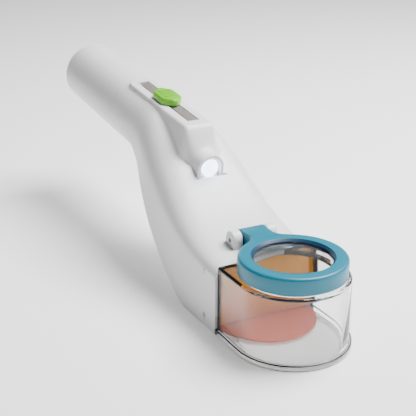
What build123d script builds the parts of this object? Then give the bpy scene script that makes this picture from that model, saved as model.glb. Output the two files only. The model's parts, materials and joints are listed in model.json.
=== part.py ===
from build123d import *
from math import acos, asin, atan2, cos, degrees, radians, sin, sqrt, tan
import os

# Hand-held bug catcher: a see-through chamber with a magnifying lid, a sliding trapdoor
# under it, and a tubular grip with a thumb slide, a torch and two cells inside.
# Millimetres. +X points from the grip to the chamber, +Y to the left, +Z up.
# The origin is the middle of the footprint, on the surface that the chamber stands on.

# Grip tube
grip_radius = 20.0
grip_wall = 2.0
grip_tilt = 5.5
grip_length = 104.2
grip_flare = 0.35
grip_flare_length = 26.0
grip_root_back = 162.0
grip_root_height = 74.2

# Cap that closes the grip
cap_rim = 3.6
cap_edge_radius = 2.5
cap_plug_length = 11.0
cap_plug_wall = 2.6
cap_plug_gap = 0.15
cap_lug_height = 1.0
cap_lug_width = 6.0
cap_lug_length = 2.4
cap_lug_inset = 6.6
cap_lug_gap = 0.3
cap_floor = 3.0
cap_seam = 0.15
cap_twist = 40.0

# Cord eye in the cap
eye_angle = 52.0
eye_length = 5.6
eye_width = 3.2
eye_depth = 3.4
eye_bar_radius = 0.7
eye_bar_bite = 1.2
eye_reach = 16.0
eye_bar_sink = 1.2

# Ring seal on the cap plug
seal_radius = 0.75
seal_inset = 2.6
seal_gap = 0.05
seal_groove_half = 0.9

# Body
body_half_width = 31.4
body_front_height = 38.4
body_front_back = 23.8
body_wall = 2.0
body_inner_corner = 0.4
seam_height = 10.0
seam_gap = 0.1

# See-through chamber
chamber_radius = 29.9
chamber_wall = 2.0
chamber_top_wall = 2.0
chamber_edge_radius = 1.2
flange_height = 3.2
flange_edge_radius = 0.5
mouth_radius = 26.2
mouth_lip = 0.7
neck_base_radius = 25.6
neck_tip_radius = 24.6
neck_inner_radius = 23.3
neck_height = 7.6
neck_notch_gap = 0.3
tab_length = 16.0
tab_low = 3.4
tab_high = 32.6
tab_side_gap = 0.5
chamber_gap = 0.15

# Tinted panel between the chamber and the body
panel_thickness = 1.8
panel_gap = 0.15
panel_top_gap = 0.4
panel_corner_radius = 6.0
panel_foot_gap = 0.35
panel_stop_half = 18.0
panel_stop_height = 2.4
panel_stop_thickness = 1.2

# Trapdoor
door_radius = 27.6
door_thickness = 1.2
door_tilt = 1.2
door_lift = 0.9
door_half_travel = 24.3
door_gap = 0.15
door_tail_half_width = 24.0
door_tail_back = 26.6
door_shoulder_back = 14.0
door_arm_back = 33.0
door_arm_height = 7.6
door_arm_inner = 1.75
door_arm_thickness = 1.9
door_arm_radius = 2.4
door_arm_slant = 1.6
door_arm_foot = 5.0
rail_width = 5.0
rail_thickness = 1.2
rail_inner = 24.5
rail_gap = 0.5
rail_length = 33.0
door_side_gap = 0.3

# Lid
lid_radius = 28.0
lid_low = 39.4
lid_high = 48.4
lid_skirt_inner = 26.4
lid_plate = 2.0
lid_window_radius = 20.0
lid_window_bevel = 1.0
lid_edge_radius = 1.6
lid_collar_outer = 22.9
lid_collar_inner = 21.9
lid_collar_depth = 2.4
lid_tab_half_width = 7.4
lid_tab_flare = 7.0
lid_tab_low = 40.2
lid_open = 105.0

# Lid hinge
hinge_back = 40.8
hinge_height = 43.6
hinge_pin_radius = 1.25
hinge_fit = 0.04
hinge_barrel_radius = 4.8
hinge_tab_reach = 3.2
lug_gap = 0.35
lug_width = 5.8
lug_boss_radius = 8.0
lug_pocket_radius = 6.2

# Magnifying lens and the ring that holds it
lens_radius = 21.75
lens_edge = 1.3
lens_crown = 1.5
retainer_inner = 20.3
retainer_thickness = 0.9
lens_gap = 0.1

# Raised pad and torch ridge on top
pad_height = 20.3
pad_half_width = 8.8
pad_flare = 0.27
pad_skirt_depth = 12.0
pad_rear = 41.0
pad_edge_radius = 1.4
pad_round_share = 0.85
crest_wall = 2.6
ridge_top_forward = 43.2
ridge_slope_forward = 53.5
ridge_slope_drop = 12.4
ridge_foot_drop = 34.0

# Slot in the pad
slot_back = 145.6
slot_length = 70.0
slot_half_width = 3.8
slot_depth = 1.6
stem_slot_width = 1.9
stem_slot_length = 63.0
strip_thickness = 1.0
strip_gap = 0.1
strip_rib_height = 0.25
strip_rib_width = 0.6
strip_rib_count = 3

# Thumb button and its carriage
button_length = 26.4
button_width = 13.4
button_height = 4.0
button_gap = 0.3
button_bevel = 1.4
button_nose = 7.0
button_rib_count = 4
button_rib_width = 0.9
button_rib_height = 0.45
button_rib_pitch = 3.0
button_rib_half = 4.0
button_corner_radius = 2.4
stem_grip = 2.0
stem_fit = 0.05
stem_thickness = 1.3
stem_length = 12.0
carriage_length = 20.0
carriage_half_width = 5.0
carriage_top = 17.5
carriage_thickness = 2.6
carriage_gap = 0.2
carriage_ear_inner = 1.75
carriage_ear_thickness = 1.7
carriage_pivot_height = 1.0
carriage_pivot_forward = 4.0
carriage_ear_back = 4.0
carriage_ear_front = 9.0
track_lip = 1.2
track_wall = 1.4
track_overrun = 2.0
track_lip_gap = 0.35

# Push link between the carriage and the trapdoor
link_thickness = 3.0
link_width = 4.4
link_web = 1.4
link_flange = 1.0
link_eye_radius = 2.6
link_pin_radius = 1.0
link_fit = 0.05
link_open_fit = 0.35
link_pin_head = 0.8
link_head_radius = 1.7

# Torch
torch_back = 87.5
torch_height = 66.4
torch_dip = 10.0
torch_hood_radius = 8.2
torch_hood_foot = 7.4
torch_hood_depth = 14.0
torch_niche_radius = 6.5
torch_niche_depth = 1.8
torch_niche_foot = 6.6
torch_lens_radius = 5.1
torch_lens_flange = 5.8
torch_lens_flange_thickness = 1.0
torch_lens_dome = 3.0
torch_lens_shank = 2.0
torch_lens_room = 3.4
torch_bore_gap = 0.1
torch_shoulder = 1.2
torch_barrel_radius = 7.7
torch_barrel_depth = 9.6
peg_radius = 0.5
peg_length = 1.6
peg_place = 4.5
reflector_length = 4.6
reflector_wall = 0.8
reflector_rim = 1.2
bulb_radius = 2.5
bulb_length = 5.0
bulb_flange_radius = 2.9
bulb_flange_thickness = 1.0
board_size = 11.0
board_thickness = 1.2
lead_radius = 0.25
lead_spacing = 2.54
lead_length = 1.6
lead_tail = 0.8
lead_gap = 0.08

# Cells and their holder
cell_radius = 7.1
cell_length = 49.2
cell_nub_radius = 2.7
cell_nub_length = 1.3
holder_radius = 17.6
holder_wall = 1.4
holder_length = 60.0
holder_start = 27.0
holder_cell_gap = 0.3
holder_rib = 0.8
holder_open_height = 2.0
contact_thickness = 0.4
contact_width = 9.0
contact_height = 11.0
contact_nose = 1.2
contact_nose_radius = 2.0
contact_gap = 0.05
wire_radius = 0.6
wire_bend = 3.0
wire_gap = 0.3
lead_straight = 6.0
lead_aside_rear = 12.0
lead_aside_front = 19.0
lead_front_height = 66.0
coil_radius = 3.6
coil_wire = 0.4
coil_turns = 3

# Screws
side_screw_back = 35.8
side_screw_low = 6.0
side_screw_high = 31.4
side_screw_head_radius = 1.6
side_screw_head = 1.0
side_screw_shank_radius = 0.9
side_screw_length = 4.6
side_screw_gap = 0.05
cover_screw_radius = 1.2
cover_screw_head_radius = 2.3
cover_screw_head = 1.4
cover_screw_length = 12.0
cover_boss_radius = 3.4
cover_screw_gap = 0.08
cover_screw_back_shares = [0.50, 0.73]
cover_screw_aside = 13.0
cover_boss_height = 6.0
cover_head_height = 2.6
cover_screw_slot = 1.5
screw_slot_width = 0.3
side_screw_slot = 1.0
side_screw_slot_depth = 0.5
side_screw_sink = 0.1

# One overrun serves every cut
overrun = 5.0

# Places that follow from the sizes above
tilt = radians(grip_tilt)
cap_lean = (grip_radius - cap_edge_radius) * sin(tilt)
rear_reach = grip_root_back + (grip_length - cap_edge_radius) * cos(tilt) + cap_lean + cap_edge_radius
chamber_x = (rear_reach - body_half_width) / 2
front_x = chamber_x - body_front_back
root_x = chamber_x - grip_root_back
slot_x = chamber_x - slot_back
slot_z = grip_root_height - (slot_x - root_x) * tan(tilt)
along = (cos(tilt), 0, -sin(tilt))
upward = (sin(tilt), 0, cos(tilt))
rearward = (-cos(tilt), 0, sin(tilt))
grip_plane = Plane(origin=(root_x, 0, grip_root_height), x_dir=upward, z_dir=rearward)
slide_plane = Plane(origin=(slot_x, 0, slot_z), x_dir=along, z_dir=upward)
slide_side = Plane(origin=(slot_x, 0, slot_z), x_dir=along, z_dir=(0, -1, 0))
slide_end = Plane(origin=(slot_x, 0, slot_z), x_dir=(0, 1, 0), z_dir=along)
root_cut = Plane(origin=(root_x, 0, 0), z_dir=(-1, 0, 0))
body_length = grip_root_back - body_front_back
body_top_rise = grip_root_height + grip_radius / cos(tilt) - body_front_height
body_floor_rise = grip_root_height - grip_radius / cos(tilt)
grip_inner = grip_radius - grip_wall
tube_end = grip_length - cap_rim

# Stations along the body, as shares: way back, extra width, rise of the top, height of the
# straight side, corner radius, rise of the floor. The last number bends the top crosswise.
body_station_shares = [
    (0.000, 1.000, 0.000, 0.820, 0.026, -0.030, 8.0),
    (0.132, 1.000, 0.034, 0.800, 0.029, -0.030, 7.0),
    (0.248, 1.000, 0.122, 0.770, 0.038, -0.030, 6.0),
    (0.356, 0.965, 0.247, 0.740, 0.145, 0.015, 5.5),
    (0.465, 0.912, 0.428, 0.677, 0.280, 0.115, 5.0),
    (0.566, 0.825, 0.603, 0.645, 0.408, 0.241, 4.4),
    (0.667, 0.667, 0.760, 0.603, 0.507, 0.389, 3.7),
    (0.769, 0.421, 0.886, 0.565, 0.645, 0.570, 2.9),
    (0.884, 0.088, 0.970, 0.573, 0.880, 0.815, 2.15),
    (1.000, 0.0044, 1.002, 0.500, 0.975, 1.0036, 2.0),
]
# Two more stations ahead of the front, cut away later, so that the surface runs straight there
run_in_shares = [
    (-0.270, 1.000, 0.000, 0.820, 0.026, -0.030, 8.0),
    (-0.135, 1.000, 0.000, 0.820, 0.026, -0.030, 8.0),
]
seam_shares = [1.0, 1.0, 1.0, 1.0, 1.0, 1.0, 0.95, 0.7, 0.35]
top_steps = 20
crown_samples = 720


def station_sizes(shares, inset):
    """Half width, top, side top, corner radius and floor of one body section."""
    back, extra, rise, side, corner, floor, bend = shares
    half_width = grip_radius + (body_half_width - grip_radius) * extra
    top = body_front_height + body_top_rise * rise
    bottom = body_floor_rise * floor
    side_top = bottom + (top - bottom) * side
    radius = max(half_width * corner - inset, body_inner_corner)
    return half_width - inset, top - inset, side_top, radius, bottom + inset


def crown_points(half_width, side_top, crown, bend):
    """Points over the top of a section, evenly spaced along its curve."""
    fine = []
    for step in range(crown_samples + 1):
        angle = radians(180 * step / crown_samples)
        reach = half_width * abs(cos(angle)) ** (2 / bend)
        fine.append((reach if step * 2 < crown_samples else -reach, side_top + crown * sin(angle)))
    lengths = [0]
    for first, second in zip(fine, fine[1:]):
        lengths.append(lengths[-1] + sqrt((second[0] - first[0]) ** 2 + (second[1] - first[1]) ** 2))
    points = []
    place = 0
    for step in range(top_steps + 1):
        target = lengths[-1] * step / top_steps
        while place < crown_samples - 1 and lengths[place + 1] < target:
            place += 1
        way = (target - lengths[place]) / (lengths[place + 1] - lengths[place])
        first, second = fine[place], fine[place + 1]
        points.append((first[0] + (second[0] - first[0]) * way, first[1] + (second[1] - first[1]) * way))
    return points


def body_form(inset, front):
    """The body as one loft through its stations, each drawn in from the skin by inset."""
    with BuildPart() as form:
        for shares in run_in_shares + body_station_shares:
            half_width, top, side_top, radius, bottom = station_sizes(shares, inset)
            station_x = front_x - body_length * shares[0]
            with BuildSketch(Plane(origin=(station_x, 0, 0), x_dir=(0, 1, 0), z_dir=(1, 0, 0))):
                with BuildLine():
                    Spline(crown_points(half_width, side_top, top - side_top, shares[6]), tangents=[(0, 1), (0, -1)])
                    Line((-half_width, side_top), (-half_width, bottom + radius))
                    RadiusArc((-half_width, bottom + radius), (radius - half_width, bottom), -radius)
                    Line((radius - half_width, bottom), (half_width - radius, bottom))
                    RadiusArc((half_width - radius, bottom), (half_width, bottom + radius), -radius)
                    Line((half_width, bottom + radius), (half_width, side_top))
                make_face()
        loft()
        split(bisect_by=Plane(origin=(front, 0, 0), z_dir=(-1, 0, 0)), keep=Keep.TOP)
    return form.part


def floor_at(x):
    """Height of the body's underside at x, read between the stations."""
    back_share = (front_x - x) / body_length
    for near, far in zip(body_station_shares, body_station_shares[1:]):
        if back_share <= far[0]:
            way = (back_share - near[0]) / (far[0] - near[0])
            return body_floor_rise * (near[5] + (far[5] - near[5]) * way)
    return body_floor_rise


def crest_form(inset):
    """Raised pad and torch ridge: a side outline cut to a flared cross-section."""
    top = pad_height - inset
    rear = inset - pad_rear
    half = pad_half_width - inset
    wide = half + pad_flare * pad_skirt_depth
    with BuildPart() as crest:
        with BuildSketch(slide_side):
            with BuildLine():
                Polyline(
                    (rear, -pad_skirt_depth),
                    (rear, top),
                    (ridge_top_forward - inset / 2, top),
                    (ridge_slope_forward - inset, top - ridge_slope_drop),
                    (ridge_slope_forward - inset, pad_height - ridge_foot_drop),
                    (rear, -pad_skirt_depth),
                )
            make_face()
        extrude(amount=wide, both=True)
        with BuildSketch(slide_end.offset(-pad_rear - overrun)):
            with BuildLine():
                Polyline(
                    (-half, pad_height),
                    (half, pad_height),
                    (wide, pad_height - pad_skirt_depth),
                    (wide, -body_front_height),
                    (-wide, -body_front_height),
                    (-wide, pad_height - pad_skirt_depth),
                    (-half, pad_height),
                )
            make_face()
        extrude(amount=pad_rear + ridge_slope_forward + 2 * overrun, mode=Mode.INTERSECT)
        if inset == 0:
            rear_face = crest.faces().sort_by(Axis.X)[0]
            fillet(rear_face.edges().filter_by(lambda e: e.length > pad_skirt_depth), pad_half_width * pad_round_share)
            fillet(crest.faces().sort_by(Axis.Z)[-1].edges(), pad_edge_radius)
    return crest.part


def grip_rod(radius, length):
    """Round bar along the grip, a little wider at its root, rearward from the vertical cut there."""
    with BuildPart() as rod:
        with BuildSketch(grip_plane.offset(-overrun)):
            Circle(radius + grip_flare)
        with BuildSketch(grip_plane.offset(grip_flare_length)):
            Circle(radius)
        loft(ruled=True)
        with BuildSketch(grip_plane.offset(grip_flare_length)):
            Circle(radius)
        extrude(amount=length - grip_flare_length)
        split(bisect_by=root_cut, keep=Keep.TOP)
    return rod.part


def arch_sketch(plane, radius, foot):
    """Round-topped outline with straight sides and a flat foot."""
    with BuildSketch(plane) as arch:
        Circle(radius)
        with Locations((0, -foot / 2)):
            Rectangle(2 * radius, foot)
    return arch.sketch


def block(plane, across, up, start, end):
    """Straight bar on a plane: a rectangle given by its two ranges, from start to end."""
    with BuildPart() as bar:
        with BuildSketch(plane.offset(start)):
            with Locations(((across[0] + across[1]) / 2, (up[0] + up[1]) / 2)):
                Rectangle(across[1] - across[0], up[1] - up[0])
        extrude(amount=end - start)
    return bar.part


def rod(plane, radius, start, end):
    """Round bar on a plane's axis, from start to end."""
    with BuildPart() as bar:
        with BuildSketch(plane.offset(start)):
            Circle(radius)
        extrude(amount=end - start)
    return bar.part


# Where the torch, hinge, trapdoor and link stand
torch_dip_angle = radians(torch_dip)
torch_plane = Plane(
    origin=(chamber_x - torch_back, 0, torch_height),
    x_dir=(0, 1, 0),
    z_dir=(cos(torch_dip_angle), 0, -sin(torch_dip_angle)),
)
hinge_x = chamber_x - hinge_back
hinge_side = Plane(origin=(hinge_x, 0, hinge_height), x_dir=(1, 0, 0), z_dir=(0, -1, 0))
chamber_plane = Plane(origin=(chamber_x, 0, 0), x_dir=(1, 0, 0), z_dir=(0, 0, 1))
door_angle = radians(door_tilt)
door_along = (cos(door_angle), 0, -sin(door_angle))
door_up = (sin(door_angle), 0, cos(door_angle))
door_x = chamber_x - door_half_travel
door_z = door_lift + (door_half_travel + door_radius) * tan(door_angle)
door_plane = Plane(origin=(door_x, 0, door_z), x_dir=door_along, z_dir=door_up)
door_side = Plane(origin=(door_x, 0, door_z), x_dir=door_along, z_dir=(0, -1, 0))
pivot_high = slide_plane.from_local_coords(Vector(carriage_pivot_forward, 0, carriage_pivot_height))
pivot_low = door_plane.from_local_coords(Vector(-door_arm_back, 0, door_arm_height))
link_vector = pivot_low - pivot_high
link_length = link_vector.length
link_slope = atan2(-link_vector.Z, link_vector.X)
slide_ratio = cos(link_slope - tilt) / cos(link_slope - door_angle)
slider_half_travel = door_half_travel / slide_ratio
link_side = Plane(origin=pivot_high, x_dir=link_vector.normalized(), z_dir=(0, -1, 0))
xz_plane = Plane(origin=(0, 0, 0), x_dir=(1, 0, 0), z_dir=(0, -1, 0))

# Places of the screws
boss_places = []
for share in cover_screw_back_shares:
    for side in (-1, 1):
        boss_places.append((front_x - body_length * share, side * cover_screw_aside))
side_screw_x = chamber_x - side_screw_back
hinge_half_width = lid_tab_half_width + lug_gap
front_plane = Plane(origin=(front_x, 0, 0), x_dir=(0, 1, 0), z_dir=(1, 0, 0))
groove_outer = grip_inner + cap_lug_height + cap_lug_gap
groove_inner = grip_inner - grip_wall / 2
lug_half_angle = degrees(asin((cap_lug_width / 2 + cap_lug_gap) / grip_inner))
cover_screw_reach = cover_head_height + cover_screw_length
rail_start = door_half_travel - body_front_back - tab_length - rail_gap
rail_end = rail_start - rail_length

# The moulded body's skin, before it is parted along the seam
with BuildPart() as skin:
    add(body_form(0, front_x))
    split(bisect_by=Plane.XY, keep=Keep.TOP)
    add(grip_rod(grip_radius, tube_end))
    add(crest_form(0))
    extrude(arch_sketch(torch_plane, torch_hood_radius, torch_hood_foot), amount=-torch_hood_depth)

# Rails that the slider carriage hangs on
track_half_length = slider_half_travel + carriage_length / 2 + track_overrun
track_inner = carriage_half_width + carriage_gap
track_ledge = carriage_top - carriage_thickness - carriage_gap

# The room inside, less the walls, rails and bosses that stay standing in it
with BuildPart() as hollow:
    add(body_form(body_wall, front_x + overrun))
    split(bisect_by=Plane.XY.offset(body_wall), keep=Keep.TOP)
    add(grip_rod(grip_inner, tube_end + overrun))
    add(crest_form(crest_wall))
    # wall round the pocket for the lid's knuckle
    add(rod(hinge_side, lug_boss_radius, -hinge_half_width - body_wall, hinge_half_width + body_wall),
        mode=Mode.SUBTRACT)
    # columns for the cover screws
    for x, y in boss_places:
        with BuildSketch(Plane.XY):
            with Locations((x, y)):
                Circle(cover_boss_radius)
        extrude(amount=body_front_height + body_top_rise, mode=Mode.SUBTRACT)
    # rails for the carriage
    for side in (-1, 1):
        web = sorted([side * track_inner, side * (track_inner + track_wall)])
        ledge = sorted([side * (track_inner - track_lip), side * (track_inner + track_wall)])
        add(block(slide_end, web, (track_ledge - track_lip, pad_height), -track_half_length, track_half_length),
            mode=Mode.SUBTRACT)
        add(block(slide_end, ledge, (track_ledge - track_lip, track_ledge), -track_half_length,
                  track_half_length), mode=Mode.SUBTRACT)
    # barrel round the torch
    add(rod(torch_plane, torch_barrel_radius, -torch_barrel_depth, 0), mode=Mode.SUBTRACT)
    # stop rib behind the tinted panel
    add(block(front_plane, (-panel_stop_half, panel_stop_half),
              (body_front_height - body_wall - panel_stop_height, body_front_height),
              -panel_thickness - 2 * panel_gap - panel_stop_thickness, -panel_thickness - 2 * panel_gap),
        mode=Mode.SUBTRACT)
    # runway rails over the trapdoor's edges
    for side in (-1, 1):
        across = sorted([side * rail_inner, side * (rail_inner + rail_width + body_wall)])
        add(block(door_plane, (rail_end, rail_start), across, door_thickness + door_gap,
                  door_thickness + door_gap + rail_thickness), mode=Mode.SUBTRACT)

with BuildPart() as shell:
    add(skin.part)
    add(hollow.part, mode=Mode.SUBTRACT)

# The seam between the housing and its bottom cover, seen from the side
seam_points = []
for shares, share in zip(body_station_shares, seam_shares):
    seam_z = body_floor_rise * max(shares[5], 0) + seam_height * share
    seam_points.append((front_x - body_length * shares[0], seam_z))


def below_seam(gap):
    """Everything under the seam, drawn in by gap."""
    with BuildPart() as lower:
        with BuildSketch(xz_plane):
            with BuildLine():
                outline = [(x + gap, z - gap) for x, z in seam_points]
                outline[0] = (front_x + overrun, seam_points[0][1] - gap)
                Polyline(outline + [(outline[-1][0], -overrun), (outline[0][0], -overrun), outline[0]])
            make_face()
        extrude(amount=body_half_width + overrun, both=True)
    return lower.part


# White body and grip in one moulding
with BuildPart() as main_housing:
    add(shell.part)
    add(below_seam(0), mode=Mode.SUBTRACT)
    # hinge lugs on the roof
    for side in (-1, 1):
        with BuildSketch(hinge_side.offset(side * (hinge_half_width + lug_width / 2))):
            Circle(hinge_barrel_radius)
            with Locations((0, -hinge_barrel_radius / 2)):
                Rectangle(2 * hinge_barrel_radius, hinge_barrel_radius)
        extrude(amount=lug_width / 2, both=True)
    add(rod(hinge_side, lug_pocket_radius, -hinge_half_width, hinge_half_width), mode=Mode.SUBTRACT)
    add(rod(hinge_side, hinge_pin_radius, -body_half_width, body_half_width), mode=Mode.SUBTRACT)
    # notch under the chamber's neck
    add(rod(chamber_plane, neck_base_radius + neck_notch_gap, body_front_height - neck_notch_gap,
            lid_high), mode=Mode.SUBTRACT)
    # thumb slot and the narrow slot that the carriage blade runs in
    add(block(slide_plane, (-slot_length / 2, slot_length / 2), (-slot_half_width, slot_half_width),
              pad_height - slot_depth, pad_height + overrun), mode=Mode.SUBTRACT)
    add(block(slide_plane, (-stem_slot_length / 2, stem_slot_length / 2),
              (-slot_half_width, stem_slot_width - slot_half_width),
              carriage_top, pad_height), mode=Mode.SUBTRACT)
    # pegs for the torch board
    with BuildSketch(torch_plane.offset(-torch_barrel_depth + peg_radius)):
        with Locations((-peg_place, peg_place), (peg_place, -peg_place)):
            Circle(peg_radius)
    extrude(amount=-peg_length - peg_radius)
    # torch niche, lens bore and reflector bore
    extrude(arch_sketch(torch_plane, torch_niche_radius, torch_niche_foot), amount=-torch_niche_depth,
            mode=Mode.SUBTRACT)
    add(rod(torch_plane, torch_lens_radius + torch_bore_gap, -torch_niche_depth - torch_shoulder,
            torch_lens_dome), mode=Mode.SUBTRACT)
    add(rod(torch_plane, torch_lens_flange + torch_bore_gap, -torch_barrel_depth,
            -torch_niche_depth - torch_shoulder), mode=Mode.SUBTRACT)
    # bayonet grooves with their entries at the tube's end
    for turn in (90, 270):
        with BuildSketch(grip_plane.offset(tube_end - cap_lug_inset - cap_lug_length / 2 - cap_lug_gap)):
            with BuildLine():
                sweep_from = turn - lug_half_angle
                sweep_size = cap_twist + 2 * lug_half_angle
                outer_arc = CenterArc((0, 0), groove_outer, sweep_from, sweep_size)
                inner_arc = CenterArc((0, 0), groove_inner, sweep_from, sweep_size)
                Line(outer_arc @ 0, inner_arc @ 0)
                Line(outer_arc @ 1, inner_arc @ 1)
            make_face()
        extrude(amount=cap_lug_length + 2 * cap_lug_gap, mode=Mode.SUBTRACT)
        with BuildSketch(grip_plane.offset(tube_end - cap_lug_inset)):
            with BuildLine():
                entry_from = turn + cap_twist - lug_half_angle
                outer_arc = CenterArc((0, 0), groove_outer, entry_from, 2 * lug_half_angle)
                inner_arc = CenterArc((0, 0), groove_inner, entry_from, 2 * lug_half_angle)
                Line(outer_arc @ 0, inner_arc @ 0)
                Line(outer_arc @ 1, inner_arc @ 1)
            make_face()
        extrude(amount=cap_lug_inset + overrun, mode=Mode.SUBTRACT)
    # holes for the cover screws and the upper side screws
    for x, y in boss_places:
        with BuildSketch(Plane.XY.offset(floor_at(x))):
            with Locations((x, y)):
                Circle(cover_screw_radius + cover_screw_gap)
        extrude(amount=cover_screw_reach + cover_screw_gap, mode=Mode.SUBTRACT)
    for side in (-1, 1):
        side_view = Plane(origin=(side_screw_x, 0, side_screw_high), x_dir=(1, 0, 0), z_dir=(0, side, 0))
        add(rod(side_view, side_screw_shank_radius + side_screw_gap, chamber_radius - overrun, body_half_width),
            mode=Mode.SUBTRACT)
        add(rod(side_view, side_screw_head_radius + side_screw_gap, body_half_width - side_screw_head,
                body_half_width + overrun), mode=Mode.SUBTRACT)

# Lower half of the body below the seam
with BuildPart() as bottom_cover:
    add(shell.part)
    add(below_seam(seam_gap), mode=Mode.INTERSECT)
    # sunk runway for the trapdoor
    add(block(door_plane, (-door_half_travel - door_tail_back - door_arm_slant, body_length),
              (-door_radius - door_side_gap, door_radius + door_side_gap),
              -door_gap, door_thickness + door_gap), mode=Mode.SUBTRACT)
    for x, y in boss_places:
        with BuildSketch(Plane.XY):
            with Locations((x, y)):
                Circle(cover_screw_radius + cover_screw_gap)
        extrude(amount=body_front_height, mode=Mode.SUBTRACT)
        with BuildSketch(Plane.XY):
            with Locations((x, y)):
                Circle(cover_screw_head_radius + cover_screw_gap)
        extrude(amount=floor_at(x) + cover_head_height, mode=Mode.SUBTRACT)
    for side in (-1, 1):
        side_view = Plane(origin=(side_screw_x, 0, side_screw_low), x_dir=(1, 0, 0), z_dir=(0, side, 0))
        add(rod(side_view, side_screw_shank_radius + side_screw_gap, chamber_radius - overrun, body_half_width),
            mode=Mode.SUBTRACT)
        add(rod(side_view, side_screw_head_radius + side_screw_gap, body_half_width - side_screw_head,
                body_half_width + overrun), mode=Mode.SUBTRACT)


def u_sketch(plane, radius, back):
    """Half-round outline with straight sides back to the body."""
    with BuildSketch(plane) as outline:
        Circle(radius)
        with Locations((-back / 2, 0)):
            Rectangle(back, 2 * radius)
        with Locations((-back - radius / 2, 0)):
            Rectangle(radius, 4 * radius, mode=Mode.SUBTRACT)
    return outline.sketch


# See-through chamber
chamber_back = body_front_back - chamber_gap
with BuildPart() as chamber:
    extrude(u_sketch(chamber_plane, chamber_radius, chamber_back), amount=body_front_height)
    fillet(chamber.faces().sort_by(Axis.Z)[-1].edges().filter_by(
        lambda e: e.center().X > front_x + chamber_gap + chamber_edge_radius), chamber_edge_radius)
    extrude(u_sketch(chamber_plane, body_half_width, chamber_back), amount=flange_height)
    fillet(chamber.edges().filter_by(GeomType.CIRCLE).filter_by(
        lambda e: abs(e.radius - body_half_width) < chamber_gap), flange_edge_radius)
    with BuildSketch(chamber_plane.offset(body_front_height - chamber_top_wall)):
        Circle(neck_base_radius)
        with Locations((-chamber_back - neck_base_radius / 2, 0)):
            Rectangle(neck_base_radius, 2 * neck_base_radius, mode=Mode.SUBTRACT)
    extrude(amount=chamber_top_wall)
    with BuildSketch(chamber_plane.offset(body_front_height)):
        Circle(neck_base_radius)
    with BuildSketch(chamber_plane.offset(body_front_height + neck_height)):
        Circle(neck_tip_radius)
    loft()
    extrude(u_sketch(chamber_plane.offset(mouth_lip), chamber_radius - chamber_wall, chamber_back + overrun),
            amount=body_front_height - chamber_top_wall - mouth_lip, mode=Mode.SUBTRACT)
    add(rod(chamber_plane, mouth_radius, -overrun, body_front_height / 2), mode=Mode.SUBTRACT)
    add(rod(chamber_plane, neck_inner_radius, body_front_height / 2, lid_high), mode=Mode.SUBTRACT)
    for side in (-1, 1):
        across = sorted([side * (chamber_radius - chamber_wall), side * (body_half_width - body_wall - tab_side_gap)])
        add(block(chamber_plane, (-chamber_back - tab_length, chamber_wall - chamber_back), across, tab_low, tab_high))
        for height in (side_screw_low, side_screw_high):
            side_view = Plane(origin=(side_screw_x, 0, height), x_dir=(1, 0, 0), z_dir=(0, side, 0))
            add(rod(side_view, side_screw_shank_radius + side_screw_gap, panel_gap, body_half_width),
                mode=Mode.SUBTRACT)

# Tinted panel between the chamber and the body
panel_low = door_lift + (body_front_back + door_radius) * tan(door_angle) + door_thickness + panel_foot_gap
panel_high = body_front_height - body_wall - panel_top_gap
with BuildPart() as front_panel:
    with BuildSketch(front_plane.offset(-panel_gap)) as panel_outline:
        with Locations((0, (panel_low + panel_high) / 2)):
            Rectangle(2 * (chamber_radius - chamber_wall - panel_gap), panel_high - panel_low)
        fillet(panel_outline.vertices().sort_by(Axis.Y)[-2:], panel_corner_radius)
    extrude(amount=-panel_thickness)

# Four screws through the body's sides into the chamber's tabs
with BuildPart() as side_screws:
    for side in (-1, 1):
        for height in (side_screw_low, side_screw_high):
            side_view = Plane(origin=(side_screw_x, 0, height), x_dir=(1, 0, 0), z_dir=(0, side, 0))
            side_face = side_view.offset(body_half_width - side_screw_sink)
            add(rod(side_face, side_screw_head_radius, side_screw_sink - side_screw_head, 0))
            add(rod(side_face, side_screw_shank_radius, -side_screw_length, -side_screw_head / 2))
            add(block(side_face, (-side_screw_slot, side_screw_slot), (-screw_slot_width, screw_slot_width),
                      -side_screw_slot_depth, 0), mode=Mode.SUBTRACT)
            add(block(side_face, (-screw_slot_width, screw_slot_width), (-side_screw_slot, side_screw_slot),
                      -side_screw_slot_depth, 0), mode=Mode.SUBTRACT)

# Four screws that hold the bottom cover
with BuildPart() as cover_screws:
    for x, y in boss_places:
        head_face = Plane(origin=(x, y, floor_at(x) + cover_head_height), x_dir=(1, 0, 0), z_dir=(0, 0, 1))
        add(rod(head_face, cover_screw_head_radius, -cover_screw_head, 0))
        add(rod(head_face, cover_screw_radius, -cover_screw_head / 2, cover_screw_length))
        add(block(head_face, (-cover_screw_slot, cover_screw_slot), (-screw_slot_width, screw_slot_width),
                  -cover_screw_head, -cover_screw_head / 2), mode=Mode.SUBTRACT)
        add(block(head_face, (-screw_slot_width, screw_slot_width), (-cover_screw_slot, cover_screw_slot),
                  -cover_screw_head, -cover_screw_head / 2), mode=Mode.SUBTRACT)

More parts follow.
